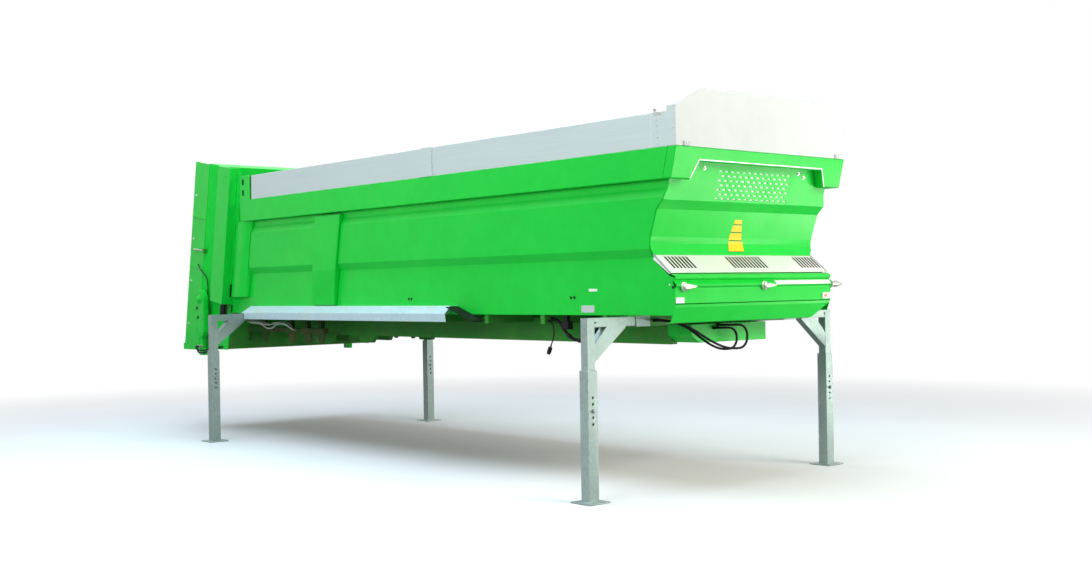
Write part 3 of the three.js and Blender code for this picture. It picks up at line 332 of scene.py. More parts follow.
GALVANISED_STEEL = metal(
    "galvanised steel", "galvanised_steel", "#8b9d99", "#a5b5b1", 0.46, 16, "spangle",
    tint="#b8c4c0", tint_share=0.10, edge_light="#c6d0ce", metallic=0.6)
BOARD_ALUMINIUM = metal(
    "extruded aluminium", "aluminium_board", "#bccac8", "#cdd8d6", 0.42, 9, stretch=(0.01, 1, 1),
    edge_light="#e6ecea", metallic=0.3)
WHITE_ALUMINIUM = metal(
    "white sanded aluminium", "aluminium_board", "#f0e8ee", "#faf4f8", 0.45, 12,
    stretch=(1, 0.05, 1), edge_light="#ffffff", metallic=0.2)
ZINC_SHEET = metal(
    "bright zinc sheet", "galvanised_steel", "#b0d0d8", "#c6dfe4", 0.4, 18, "spangle",
    tint="#c9cdbc", tint_share=0.12, edge_light="#e2e6da", metallic=0.35)
ZINC_PLATED = metal(
    "zinc plated steel", "bare_steel", "#a6aaa4", "#dcdfd6", 0.3, 8, tint="#c9bf94", tint_share=0.1)
HARD_CHROME = metal(
    "hard chrome", "chrome_rod", "#c9cccf", "#e6e9ec", 0.12, 20, stretch=(1, 1, 0.1), metallic=1.0)
WORN_STEEL = metal(
    "worn bare steel", "bare_steel", "#6b6a67", "#a09e99", 0.45, 14, tint="#7d5233",
    tint_share=0.22, edge_light="#c9c7c2")
print("metals made, spangle 16 mm, board lines 9 mm")

# %% [markdown]
# ## Rubber, plastic and reflectors
# Hoses and flaps are rubber filled with soot: black with a grey bloom, dull, with a fine moulded
# grain. A reflector is clear acrylic over small prisms, so a close Voronoi bump breaks up its gloss.

# %% Rubber and plastic


def dull(name, slot, colour, bloom, roughness, grain_mm, depth_mm, dust_share):
    material, tree, place, shader = start(name)
    cloudy = pattern(tree, place, 60, 4, 0.35, 0.8)
    dusty = pattern(tree, place, 210, 5, 0.62 - dust_share, 0.85 - dust_share, 0.65)
    colour = laid(tree, laid(tree, colour, bloom, cloudy), "#77746a", dusty, 0.3)
    gloss = add(tree, "ShaderNodeMapRange", {3: roughness - 0.08, 4: roughness + 0.1}, {0: cloudy})
    feed(tree, shader, colour, gloss, relief(tree, place, grain_mm, depth_mm, 0.5),
         Specular_IOR_Level=0.15)
    return material, slot


RUBBER = dull("moulded black rubber", "black_rubber", "#0c0d0f", "#17191b", 0.6, 5, 0.4, 0.05)
PLASTIC = dull("black moulded plastic", "black_rubber", "#141516", "#202226", 0.4, 3, 0.2, 0.05)


def reflector(name, slot, colour, deep):
    material, tree, place, shader = start(name)
    prisms = add(tree, "ShaderNodeTexVoronoi", {"Scale": 1 / (9 * MM)}, {"Vector": place})
    tone = add(tree, "ShaderNodeMapRange", {2: 0.7}, {0: prisms.outputs["Distance"]})
    normal = add(tree, "ShaderNodeBump", {"Distance": 0.8 * MM, "Strength": 0.6},
                 {"Height": prisms.outputs["Distance"]})
    feed(tree, shader, laid(tree, colour, deep, tone), None, normal, Roughness=0.15,
         Coat_Weight=1.0, Coat_Roughness=0.05)
    return material, slot


WHITE_REFLECTOR = reflector("white acrylic reflector", "white_panel", "#ffffff", "#e8ecee")
AMBER_REFLECTOR = reflector("amber acrylic reflector", "white_panel", "#ffb070", "#ff8a3a")
print("materials in all:", len(bpy.data.materials))

# %% [markdown]
# ## Finished copies of the model's pieces
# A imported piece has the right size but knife-sharp edges, and its mesh is loose triangles. Real
# plate is folded over a radius and its cut edges are broken, and that thin line of light along
# each edge is much of what makes steel look real. So each piece is copied, its triangles are
# merged into whole faces, and a Bevel modifier rounds its edges with hardened normals, which keeps
# the flats flat. The bevel gives its own faces a second material number, and from that each
# rounded edge gets an `edge` value for the wear. Modelling each piece again by hand would only
# risk moving it.

# %% Edges for the model's pieces


def new_piece(name, data, finish, body="body"):
    """Puts a mesh or curve in the scene, finished and riding on a body."""
    material, slot = finish
    piece = bpy.data.objects.new(name, data)
    bpy.context.scene.collection.objects.link(piece)
    data.materials.clear()
    data.materials.append(material)
    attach(piece, body)
    return piece


def hold(name, data):
    """A passing object that carries modifiers."""
    holder = bpy.data.objects.new(name, data)
    bpy.context.scene.collection.objects.link(holder)
    return holder


def evaluated(holder):
    """The mesh that an object's modifiers make, with the object itself removed."""
    bpy.context.view_layer.update()
    graph = bpy.context.evaluated_depsgraph_get()
    mesh = bpy.data.meshes.new_from_object(holder.evaluated_get(graph), depsgraph=graph)
    bpy.data.objects.remove(holder)
    return mesh


def as_mesh(name, shape):
    mesh = bpy.data.meshes.new(name)
    shape.to_mesh(mesh)
    shape.free()
    return mesh


def whole_faces(node):
    """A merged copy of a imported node, with its flat triangles joined into whole faces."""
    shape = bmesh.new()
    shape.from_mesh(nodes[node].data)
    bmesh.ops.remove_doubles(shape, verts=shape.verts, dist=0.00002)
    bmesh.ops.dissolve_limit(
        shape, angle_limit=math.radians(0.4), verts=shape.verts, edges=shape.edges)
    return as_mesh(node, shape)


def rounded(holder, radius_mm, angle=28):
    """Rounds the edges of a shape, and gives the rounded faces an edge value of one."""
    mesh = holder.data
    mesh.materials.clear()
    for _ in range(2):
        mesh.materials.append(None)
    mesh.shade_smooth()
    mesh.set_sharp_from_angle(angle=math.radians(angle))
    bevel = holder.modifiers.new("rounded edges", "BEVEL")
    bevel.width = radius_mm * MM
    bevel.segments = 2
    bevel.limit_method = "ANGLE"
    bevel.angle_limit = math.radians(angle)
    bevel.harden_normals = True
    bevel.material = 1
    bevel.use_clamp_overlap = True
    done = evaluated(holder)
    values = [float(polygon.material_index == 1) for polygon in done.polygons]
    done.attributes.new("edge", "FLOAT", "FACE").data.foreach_set("value", values)
    done.polygons.foreach_set("material_index", [0] * len(done.polygons))
    return done


def drilled(holder, cuts):
    """The same shape with a mesh of holes taken away."""
    name = holder.name
    cutter = hold("cutter", cuts)
    cut = holder.modifiers.new("holes", "BOOLEAN")
    cut.object = cutter
    cut.solver = "EXACT"
    mesh = evaluated(holder)
    bpy.data.objects.remove(cutter)
    return hold(name, mesh)


def finished(node, radius_mm, finish, angle=28, cuts=None):
    """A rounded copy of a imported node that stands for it. Cuts is a mesh to take away first."""
    holder = hold(node, whole_faces(node))
    if cuts:
        holder = drilled(holder, cuts)
    done = rounded(holder, radius_mm, angle)
    piece = new_piece(f"{node}_finish", done, finish, nodes[node]["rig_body"])
    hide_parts(node)
    return piece


print("edge helpers ready")

# %% [markdown]
# ## Shapes for the small parts
# Everything too small for the model is built from its own outline: a flat outline swept along a
# straight line, or a profile turned about an axis. Each shape is made in a bmesh, closed, given
# outward faces and then rounded like the large pieces. Scaled cubes would leave the same sharp box
# everywhere, and a turned profile keeps the steps of a real fitting.

# %% Prisms, folded strips and turned profiles


def spots(points):
    """Places from machine coordinates in millimetres."""
    return [at(x * MM, y * MM, z * MM) for x, y, z in points]


def block(x0, x1, y0, y1, z0, z1):
    base = spots([(x0, y0, z0), (x1, y0, z0), (x1, y1, z0), (x0, y1, z0)])
    return base, Vector((0, 0, (z1 - z0) * MM))


def across(outline, y0, y1):
    """An outline of x and z, swept across the machine."""
    return spots([(x, y0, z) for x, z in outline]), Vector((0, (y1 - y0) * MM, 0))


def along(outline, x0, x1):
    """An outline of y and z, swept along the machine."""
    return spots([(x0, y, z) for y, z in outline]), Vector(((x1 - x0) * MM, 0, 0))


def leaning(outline, y0, y1):
    """An outline of u and w on the leaning rear unit, swept across the machine."""
    return [leaned(u * MM, y0 * MM, w * MM) for u, w in outline], Vector((0, (y1 - y0) * MM, 0))


def rectangle(a0, a1, b0, b1):
    return [(a0, b0), (a1, b0), (a1, b1), (a0, b1)]


def add_prism(shape, outline, sweep):
    low = [shape.verts.new(p) for p in outline]
    high = [shape.verts.new(p + sweep) for p in outline]
    shape.faces.new(low)
    shape.faces.new(high[::-1])
    for i in range(len(low)):
        j = (i + 1) % len(low)
        shape.faces.new((low[j], low[i], high[i], high[j]))


def prisms(name, parts):
    shape = bmesh.new()
    for outline, sweep in parts:
        add_prism(shape, outline, sweep)
    bmesh.ops.recalc_face_normals(shape, faces=shape.faces)
    return as_mesh(name, shape)


def solid(name, parts, radius_mm, finish):
    """One rounded piece made of prisms."""
    return new_piece(name, rounded(hold(name, prisms(name, parts)), radius_mm), finish)


def turned(name, profile, places, finish, radius_mm=0.8, steps=24):
    """Turns a profile of (distance, radius) in millimetres about each (place, direction)."""
    turns = [2 * math.pi * i / steps for i in range(steps)]
    shape = bmesh.new()
    for place, direction in places:
        direction = direction.normalized()
        aside = direction.orthogonal().normalized()
        other = direction.cross(aside)
        rings = [[shape.verts.new(
            place + direction * distance * MM
            + (aside * math.cos(a) + other * math.sin(a)) * radius * MM) for a in turns]
            for distance, radius in profile]
        for low, high in zip(rings, rings[1:]):
            for i in range(steps):
                j = (i + 1) % steps
                shape.faces.new((low[i], low[j], high[j], high[i]))
        shape.faces.new(rings[0][::-1])
        shape.faces.new(rings[-1])
    bmesh.ops.recalc_face_normals(shape, faces=shape.faces)
    return new_piece(name, rounded(hold(name, as_mesh(name, shape)), radius_mm), finish)


def round_curve(name, route, radius, resolution):
    """A curve along a route, with a round section."""
    data = bpy.data.curves.new(name, "CURVE")
    data.dimensions = "3D"
    data.bevel_depth = radius
    data.bevel_resolution = resolution
    data.use_fill_caps = True
    spline = data.splines.new("POLY")
    spline.points.add(len(route) - 1)
    for point, place in zip(spline.points, route):
        point.co = (*place, 1)
    return data


def evened(route, passes):
    """The same route with its corners evened out and its ends where they were."""
    for _ in range(passes):
        middle = [(a + b * 2 + c) / 4 for a, b, c in zip(route, route[1:], route[2:])]
        route = [route[0], *middle, route[-1]]
    return route


FRONT_LINE = [(-100.3, 3092), (-215, 2640), (-292, 2562), (-375, 2320), (-382, 2262),
              (-370, 2165), (-370, 1645)]
COVER_LINE = [(-176, 1988), (-118, 1972), (-118, 1945), (-142, 1925), (-104, 1893), (-104, 1877),
              (-122, 1860), (-122, 1724)]


def on_line(line, z):
    """How far back a folded front sheet is at a height, and the way it faces there."""
    for (x0, z0), (x1, z1) in zip(line, line[1:]):
        if z1 <= z <= z0:
            return x0 + (x1 - x0) * (z0 - z) / (z0 - z1), Vector((z0 - z1, 0, x1 - x0)).normalized()


def front_strip(line, corners, thickness_mm):
    """A thin sheet on a folded front face. Corners are (y, z) pairs, left and right, downwards."""
    parts = []
    heights = sorted({z for (_, z), _ in corners} | {
        z for _, z in line if corners[-1][0][1] < z < corners[0][0][1]}, reverse=True)

    def width_at(z):
        for ((a0, z0), (b0, _)), ((a1, z1), (b1, _)) in zip(corners, corners[1:]):
            if z1 <= z <= z0:
                share = (z0 - z) / (z0 - z1)
                return a0 + (a1 - a0) * share, b0 + (b1 - b0) * share

    for high, low in zip(heights, heights[1:]):
        facing = on_line(line, (high + low) / 2)[1]
        (a0, b0), (a1, b1) = width_at(high), width_at(low)
        x0 = on_line(line, high - 0.01)[0]
        x1 = on_line(line, low + 0.01)[0]
        outline = spots([(x0, a0, high), (x0, b0, high), (x1, b1, low), (x1, a1, low)])
        parts.append(([p + facing * 0.2 * MM for p in outline], facing * thickness_mm * MM))
    return parts


print("shape helpers ready, front sheet leans",
      round(math.degrees(math.asin(on_line(FRONT_LINE, 2800)[1].z)), 1), "degrees at its top")

# %% [markdown]
# ## Fasteners
# The same few fasteners come back all over the machine, so one Geometry Nodes recipe makes them:
# it puts a washer, a head and the head's chamfer on every point of a list, turned the way that
# point faces. A bolt has six sides and a rivet twenty. Linked copies of a modelled bolt would do,
# but a recipe keeps the sizes as named inputs. Its copies are made real at the end, so that each
# body gets one plain mesh.

# %% The fastener recipe


def fastener_recipe():
    """Puts a washer, a head and its chamfer on every point, turned the way that point faces."""
    tree = bpy.data.node_groups.new("fastener", "GeometryNodeTree")
    for name, kind in (("Geometry", "Geometry"), ("Across", "Float"), ("Height", "Float"),
                       ("Washer", "Float"), ("Sides", "Int"), ("Finish", "Material")):
        tree.interface.new_socket(name, in_out="INPUT", socket_type=f"NodeSocket{kind}")
    tree.interface.new_socket("Geometry", in_out="OUTPUT", socket_type="NodeSocketGeometry")
    given = {socket.name: socket for socket in tree.nodes.new("NodeGroupInput").outputs}
    size = {}
    for name, source, share in (
        ("half width", "Across", 0.5), ("crown", "Across", 0.36), ("disc", "Washer", 0.5),
        ("sheet", "Height", 0.3), ("head", "Height", 0.62), ("chamfer", "Height", 0.38),
        ("middle of sheet", "Height", 0.15), ("middle of head", "Height", 0.61),
        ("top of head", "Height", 0.92),
    ):
        size[name] = add(tree, "ShaderNodeMath", {"operation": "MULTIPLY", 1: share},
                         {0: given[source]})
    washer = add(tree, "GeometryNodeMeshCylinder", {"Vertices": 20},
                 {"Radius": size["disc"], "Depth": size["sheet"]})
    body = add(tree, "GeometryNodeMeshCylinder", None,
               {"Vertices": given["Sides"], "Radius": size["half width"], "Depth": size["head"]})
    top = add(tree, "GeometryNodeMeshCone", None,
              {"Vertices": given["Sides"], "Radius Bottom": size["half width"],
               "Depth": size["chamfer"], "Radius Top": size["crown"]})
    whole = add(tree, "GeometryNodeJoinGeometry")
    for shape, height in ((washer, "middle of sheet"), (body, "middle of head"),
                          (top, "top of head")):
        offset = add(tree, "ShaderNodeCombineXYZ", None, {2: size[height]})
        lifted = add(tree, "GeometryNodeTransform", None,
                     {"Geometry": shape, "Translation": offset})
        link(tree, lifted, whole.inputs[0])
    facing = add(tree, "GeometryNodeInputNamedAttribute",
                 {"data_type": "FLOAT_VECTOR", "Name": "facing"})
    turn = add(tree, "FunctionNodeAlignRotationToVector", {"axis": "Z"},
               {"Vector": facing})
    copies = add(tree, "GeometryNodeInstanceOnPoints", None,
                 {"Points": given["Geometry"], "Instance": whole, "Rotation": turn})
    real = add(tree, "GeometryNodeRealizeInstances", None, {0: copies})
    dressed = add(tree, "GeometryNodeSetMaterial", None,
                  {"Geometry": real, "Material": given["Finish"]})
    add(tree, "NodeGroupOutput", None, {0: dressed})
    return tree


fastener = fastener_recipe()
BOLT_ZINC = (ZINC_PLATED[0], "galvanised_steel")


def fasteners(name, places, across_mm, height_mm, finish=BOLT_ZINC, washer_mm=None, sides=6):
    """One mesh of fasteners, each on its (place, direction)."""
    mesh = bpy.data.meshes.new(name)
    mesh.from_pydata([place for place, _ in places], [], [])
    facing = mesh.attributes.new("facing", "FLOAT_VECTOR", "POINT")
    facing.data.foreach_set("vector", [c for _, way in places for c in way.normalized()])
    holder = hold(name, mesh)
    modifier = holder.modifiers.new("recipe", "NODES")
    modifier.node_group = fastener
    values = {"Across": across_mm * MM, "Height": height_mm * MM, "Sides": sides,
              "Washer": (washer_mm or across_mm * 1.5) * MM, "Finish": finish[0]}
    for item in fastener.interface.items_tree:
        if item.in_out == "INPUT" and item.name in values:
            modifier[item.identifier] = values[item.name]
    holder.update_tag()
    new_piece(name, evaluated(holder), finish)
    print(name, "made:", len(places))


RIGHTWARDS = Vector((0, -1, 0))
FORWARDS = Vector((1, 0, 0))


def outward(side):
    return Vector((0, side, 0))


print("fastener recipe has", len(fastener.nodes), "nodes")

# %% [markdown]
# ## Holes
# Punched and drilled holes are real openings, taken out of a piece with a Boolean before its edges
# are rounded. The upper front panel has a window of slots, through which the driver sees the load,
# the leg tubes have rows of pin holes, and the front box has a row of small ones. A bump would stay
# flat from the side, and an opening shows what is behind it.

# %% The cutting shapes


def slot_outline(y, z, width, height, steps=5):
    """An outline of y and z with round ends."""
    radius = height / 2
    outline = []
    for sign, begin in ((1, -90), (-1, 90)):
        for i in range(steps + 1):
            turn = math.radians(begin + 180 * i / steps)
            outline.append((y + sign * (width / 2 - radius) + radius * math.cos(turn),
                            z + radius * math.sin(turn)))
    return outline


def round_outline(a, b, radius, steps=14):
    return [(a + radius * math.cos(2 * math.pi * i / steps),
             b + radius * math.sin(2 * math.pi * i / steps)) for i in range(steps)]


window_slots = []
for row in range(7):
    count = 13 - row % 2
    for i in range(count):
        y = 36 + 81 * (i - (count - 1) / 2)
        window_slots.append(along(slot_outline(y, 2668 + 40.6 * row, 46, 17), -260, -92))
box_holes = [along(round_outline(-19 + 27 * i, 1495 + 14 * (i % 2), 6, 8), -500, -440)
             for i in range(12)]
holes = {"front_wall": window_slots, "front_box": box_holes}
for end, leg_x in zip(("front", "rear"), LEG_XS):
    for side, sign in SIDES:
        for kind in ("leg_tube", "leg_bracket"):
            holes[f"{kind}_{end}_{side}"] = [
                along(round_outline(sign * LEG_Y, z, 12), leg_x - 80, leg_x + 80)
                for z in (688, 746, 862, 920)]
print("openings to cut:", sum(len(parts) for parts in holes.values()))

# %% [markdown]
# ## Give every piece its finish
# Each row says how far the edges of some kinds of piece are rounded, in millimetres, and how they
# are finished. A cut plate edge is broken by half a millimetre or so, which could not be seen here,
# so the radii are the largest that the thickness of each sheet allows. Folded sheets keep a crease
# at every fold of six degrees or more, and the other pieces from 28 degrees, so that round parts
# stay smooth.

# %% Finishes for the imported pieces
finish_rows = (
    (3.5, GREEN_PAINT, "side_wall front_wall front_cover lower_cover rear_column"),
    (4, GREEN_PAINT, "rear_post top_beam guillotine_door spreader_side"),
    (6, GREEN_PAINT, "front_box"), (9, GREEN_PAINT, "top_rail front_rail"),
    (10, GREEN_PAINT, "chain_drive"), (12, GREEN_PAINT, "mid_post"),
    (2, CHASSIS_PAINT, "floor"), (4, CHASSIS_PAINT, "subframe"),
    (6, CHASSIS_PAINT, "spreader_base"), (3, BEATER_PAINT, "beater"),
    (4, BOARD_ALUMINIUM, "side_board"), (2, BOARD_ALUMINIUM, "board_stake"),
    (2, WHITE_ALUMINIUM, "step_shelf"), (5, WHITE_COAT, "headboard"),
    (2, WORN_STEEL, "floor_chain"), (2, ZINC_SHEET, "mudguard"),
    (5, GALVANISED_STEEL, "leg_bracket leg_tube"), (3, RUBBER, "mud_flap"),
    (2, PLASTIC, "lamp_plug"), (3, BLACK_PAINT, "door_cylinder"), (2, HARD_CHROME, "door_rod"),
)
finishes = {kind: (radius_mm, finish)
            for radius_mm, finish, kinds in finish_rows for kind in kinds.split()}
FOLDED = ("side_wall", "front_wall", "front_cover", "lower_cover", "front_rail", "top_rail",
          "rear_column", "spreader_side", "mudguard")
finished_pieces = {}
for node in sorted(nodes):
    kinds = [k for k in finishes if node == k or node.startswith(k + "_")]
    if not kinds:
        continue
    kind = max(kinds, key=len)
    cuts = prisms("cuts", holes[node]) if node in holes else None
    finished_pieces[node] = finished(node, *finishes[kind], 6 if kind in FOLDED else 28, cuts)
print("finished", len(finished_pieces), "of", len(nodes), "packed pieces, the rest are hoses")

# %% [markdown]
# ## Hoses and leads
# Two drive hoses hang from the right-hand leg socket to the front box, and a bundle of leads and a
# lamp lead hang under the sill. Each is a fixed length of something flexible, so its route is one
# smooth curve through chosen points, the same ones as in the model. The curve's round bevel gives
# the hose its skin. A mesh tube would do as well, but a curve keeps its true centreline. A tapered
# relief guards each end that goes into the machine, and four cuffs hold the bundle together.

# %% Routes of the hoses, in millimetres on the machine
HOSE_REAR = [
    (-586.4, -860, 1572), (-560, -860, 1572), (-516, -858, 1571), (-474, -846, 1566),
    (-436, -826, 1557), (-404, -798, 1544), (-380, -765, 1528), (-364, -728, 1510),
    (-356, -689, 1490), (-354, -650, 1469), (-354, -612, 1448), (-354, -573, 1426),
    (-354, -535, 1404), (-354, -496, 1382), (-354, -457, 1361), (-354, -418, 1342),
    (-354, -377, 1325), (-354, -335, 1310), (-354, -293, 1298), (-354, -249, 1290),
    (-354, -205, 1286), (-354, -161, 1286), (-354, -117, 1288), (-354, -76, 1303),
    (-354, -46, 1335), (-354, -32, 1376), (-354, -38, 1420), (-354, -62, 1456), (-354, -100, 1479),
    (-356, -144, 1484), (-371, -185, 1484), (-402, -216, 1484), (-444, -232, 1484),
    (-469.6, -232, 1484),
]
HOSE_FRONT = [
    (-586.4, -905, 1572), (-560, -905, 1572), (-513, -903, 1571), (-467, -891, 1567),
    (-425, -871, 1560), (-388, -843, 1549), (-358, -808, 1536), (-336, -769, 1521),
    (-322, -727, 1504), (-317, -683, 1485), (-316, -640, 1466), (-316, -597, 1446),
    (-316, -554, 1425), (-316, -511, 1405), (-316, -468, 1385), (-316, -424, 1366),
    (-316, -380, 1349), (-316, -335, 1332), (-316, -290, 1318), (-316, -244, 1306),
    (-316, -197, 1297), (-316, -150, 1292), (-316, -102, 1289), (-316, -55, 1289),
    (-316, -7, 1293), (-316, 35, 1314), (-316, 64, 1351), (-316, 75, 1397), (-316, 66, 1443),
    (-316, 38, 1481), (-316, -3, 1504), (-318, -50, 1509), (-331, -96, 1509), (-359, -134, 1509),
    (-398, -161, 1509), (-444, -174, 1509), (-469.6, -174, 1509),
]
CABLE_BUNDLE = [
    (-1875.6, -1000, 1575), (-1846, -1000, 1575), (-1802, -1001, 1568), (-1762, -1002, 1548),
    (-1731, -1003, 1517), (-1702, -1003, 1483), (-1671, -1004, 1451), (-1636, -1004, 1424),
    (-1597, -1005, 1402), (-1556, -1005, 1386), (-1512, -1005, 1376), (-1468, -1005, 1373),
    (-1424, -1005, 1376), (-1380, -1005, 1386), (-1339, -1005, 1402), (-1300, -1004, 1424),
    (-1265, -1004, 1451), (-1234, -1003, 1483), (-1205, -1003, 1517), (-1174, -1002, 1548),
    (-1134, -1001, 1568), (-1090, -1000, 1575), (-1060.4, -1000, 1575),
]
LAMP_CABLE = [
    (-1875.6, -1050, 1560), (-1855, -1050, 1560), (-1832, -1051, 1551), (-1812, -1052, 1532),
    (-1798, -1053, 1508), (-1790, -1054, 1480), (-1788, -1055, 1450), (-1791, -1056, 1420),
    (-1798, -1057, 1392), (-1808, -1058, 1366), (-1819, -1059, 1342), (-1828, -1060, 1322),
]


def smooth_route(points, steps=6, passes=16):
    """A centripetal Catmull-Rom curve through the points, with its bends evened out."""
    points = [at(*(v * MM for v in p)) for p in points]
    ends = [points[0] * 2 - points[1], *points, points[-1] * 2 - points[-2]]
    route = []
    for p0, p1, p2, p3 in zip(ends, ends[1:], ends[2:], ends[3:]):
        knots = [0.0]
        for a, b in ((p0, p1), (p1, p2), (p2, p3)):
            knots.append(knots[-1] + (b - a).length ** 0.5)
        t0, t1, t2, t3 = knots
        for i in range(steps):
            t = t1 + (t2 - t1) * i / steps
            a1 = p0.lerp(p1, (t - t0) / (t1 - t0))
            a2 = p1.lerp(p2, (t - t1) / (t2 - t1))
            a3 = p2.lerp(p3, (t - t2) / (t3 - t2))
            b1 = a1.lerp(a2, (t - t0) / (t2 - t0))
            b2 = a2.lerp(a3, (t - t1) / (t3 - t1))
            route.append(b1.lerp(b2, (t - t1) / (t2 - t1)))
    return evened([*route, points[-1]], passes)


def route_length(route):
    return sum((b - a).length for a, b in zip(route, route[1:]))


# %% The four cords, their strain reliefs and the bundle's cuffs
for node, points, diameter, far_end, stiffness in (
    ("drive_hose_rear", HOSE_REAR, 0.022, "object", "stiff"),
    ("drive_hose_front", HOSE_FRONT, 0.022, "object", "stiff"),
    ("cable_bundle", CABLE_BUNDLE, 0.030, "object", "medium"),
    ("lamp_cable", LAMP_CABLE, 0.012, "plug", "medium"),
):
    route = smooth_route(points)
    skin = new_piece(f"{node}_skin", round_curve(node, route, diameter / 2, 6), RUBBER)
    radius = diameter / 2 / MM
    housed = [(route[0], route[1] - route[0])]
    if far_end == "object":
        housed.append((route[-1], route[-2] - route[-1]))
    turned(f"{node}_relief", [(-2, radius + 6), (6, radius + 6), (8, radius + 4), (34, radius + 1.5)],
           housed, PLASTIC)
    fitted = [finished_pieces["lamp_plug"]] if far_end == "plug" else []
    for number, share in enumerate((0.2, 0.34, 0.5, 0.66) if node == "cable_bundle" else ()):
        i = int(share * (len(route) - 1))
        fitted.append(turned(
            f"bundle_cuff_{number + 1}", [(-22, 17), (-18, 21), (18, 21), (22, 17)],
            [(route[i], route[i + 1] - route[i])], PLASTIC, radius_mm=1.5))
    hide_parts(node)
    print(node, "is", round(route_length(route), 3), "m long")

# %% [markdown]
# ## The front
# The upper front panel has its window and a yellow mark of four steps, which shows the driver how
# the load goes down. A white sheet behind the window's slots paints the light seen through them.
# Below it, black strips and a black backing in the step's slots paint the shade there, and the
# cover carries three latches, a raised white strip whose white paints the highlight along its nose,
# and two reflectors. The mark is a thin film on the folded sheet, so each of its steps follows the
# folds.

# %% Window light sheet, mark, highlight strip and reflectors
# A white sheet right behind the slots: painted light, standing for the light seen through them.
slot_light_sheet = [(x - 8.6, z) for x, z in ((-208.7, 2664), (-144.2, 2918))]
solid("window_light_sheet", [across([*slot_light_sheet, *((x - 3, z) for x, z in slot_light_sheet[::-1])], -520, 590)],
      1, WHITE_VINYL)
# each step's top with its right and left corner, then its foot with the same
for number, (top, a, b, foot, c, d) in enumerate((
    (2487, -74, 25, 2444, -78, 36), (2436, -86, 42, 2372, -90, 58),
    (2364, -96, 66, 2296, -98, 84), (2288, -100, 96, 2190, -102, 113),
), 1):
    foot_line = ((c, foot), (d, foot))
    solid(f"load_mark_{number}",
          front_strip(FRONT_LINE, [((a, top), (b, top)), foot_line], 1.5), 0.3, YELLOW_VINYL)
    solid(f"load_mark_edge_{number}",
          front_strip(FRONT_LINE, [((c, foot + 5), (d, foot + 5)), foot_line], 2.2), 0.3, BLACK_PAINT)
# A raised strip along the cover's nose; its white paints the highlight there.
solid("nose_highlight_strip", front_strip(
    COVER_LINE, [((253, 1917), (1078, 1917)), ((245, 1880), (1085, 1880))], 3), 1, WHITE_ALUMINIUM)
solid("reflector_right", [block(-122, -110, -1106, -1005, 1727, 1778)], 3, WHITE_REFLECTOR)
solid("reflector_left", [block(-122, -110, 969, 1090, 1734, 1794)], 3, WHITE_REFLECTOR)
turned("reflector_lens", [(0, 20), (5, 18), (6, 10)], [(at(-0.110, 1.012, 1.762), FORWARDS)],
       AMBER_REFLECTOR)

# %% Painted shade in the step's slots, and window bolts
STEP_SLOT_PITCH, STEP_SLOT_HALF = 46, 12
# Black rubber strips and a black backing in the step's slots paint the shade seen through them.
solid("step_shade_backing", [across([(-352, 2130), (-196, 1985), (-204, 1976), (-360, 2121)], -1090, 1090)],
      2, RUBBER)
step_slot = [(-342.8, 2140.7), (-218.9, 2038.3), (-222.6, 2033.8), (-346.5, 2136.2)]
step_slot_ys = [middle + STEP_SLOT_PITCH * (i - (count - 1) / 2)
            for middle, count in ((-865, 7), (42, 11), (940, 7)) for i in range(count)]
solid("step_slot_shades", [across(step_slot, y - STEP_SLOT_HALF, y + STEP_SLOT_HALF) for y in step_slot_ys], 0.8, RUBBER)
for side, sign in SIDES:
    end = [(-371, 2171), (-166, 2001), (-180, 1990), (-380, 2156)]
    solid(f"step_end_{side}", [across(end, sign * 1112, sign * 1116)], 1, GALVANISED_STEEL)
window_bolts = []
for y, z in ((648, 2935), (740, 2904), (-682, 2928)):
    x, facing = on_line(FRONT_LINE, z)
    window_bolts.append((at(x * MM, y * MM, z * MM), facing))
fasteners("window_bolts", window_bolts, 24, 10)

# %% Latches on the cover
for number, y in ((1, -1012), (2, 84)):
    lever = [(-10, 1856), (30, 1850), (128, 1866), (136, 1873), (128, 1880), (30, 1896), (-10, 1890)]
    solid(f"latch_lever_{number}", [along([(y + dy, z) for dy, z in lever], -84, -70)], 3,
          ZINC_PLATED)
    turned(f"latch_boss_{number}",
           [(0, 42), (6, 42), (9, 33), (26, 31), (30, 24), (34, 24), (38, 12)],
           [(at(-0.106, y * MM, 1.873), FORWARDS)], ZINC_PLATED, radius_mm=2)
turned("latch_boss_3", [(0, 40), (8, 40), (12, 28), (70, 26), (90, 32), (110, 28), (200, 6)],
       [(at(-0.135, 1.112, 1.876), outward(1))], ZINC_PLATED, radius_mm=2)
solid("latch_bracket_3", [block(-160, -112, 1106, 1116, 1836, 1916)], 2, ZINC_PLATED)

# %% [markdown]
# ## The front rail and headboard
# The rail is a closed box. A narrow flange runs under its cut-out, where it guards the top of the
# window. The headboard's short sides are bare aluminium sheet, riveted over the white panel, and
# a pin through a small bracket holds each one at the top.

# %% Rail flange, side sheets and clamps
RAIL_TOP, RAIL_SLOPE = 3092, 0.2536      # the rail's face goes back by this much for each step down


def on_rail(y, z, back=0):
    return at((-RAIL_SLOPE * (RAIL_TOP - z) - back) * MM, y * MM, z * MM)


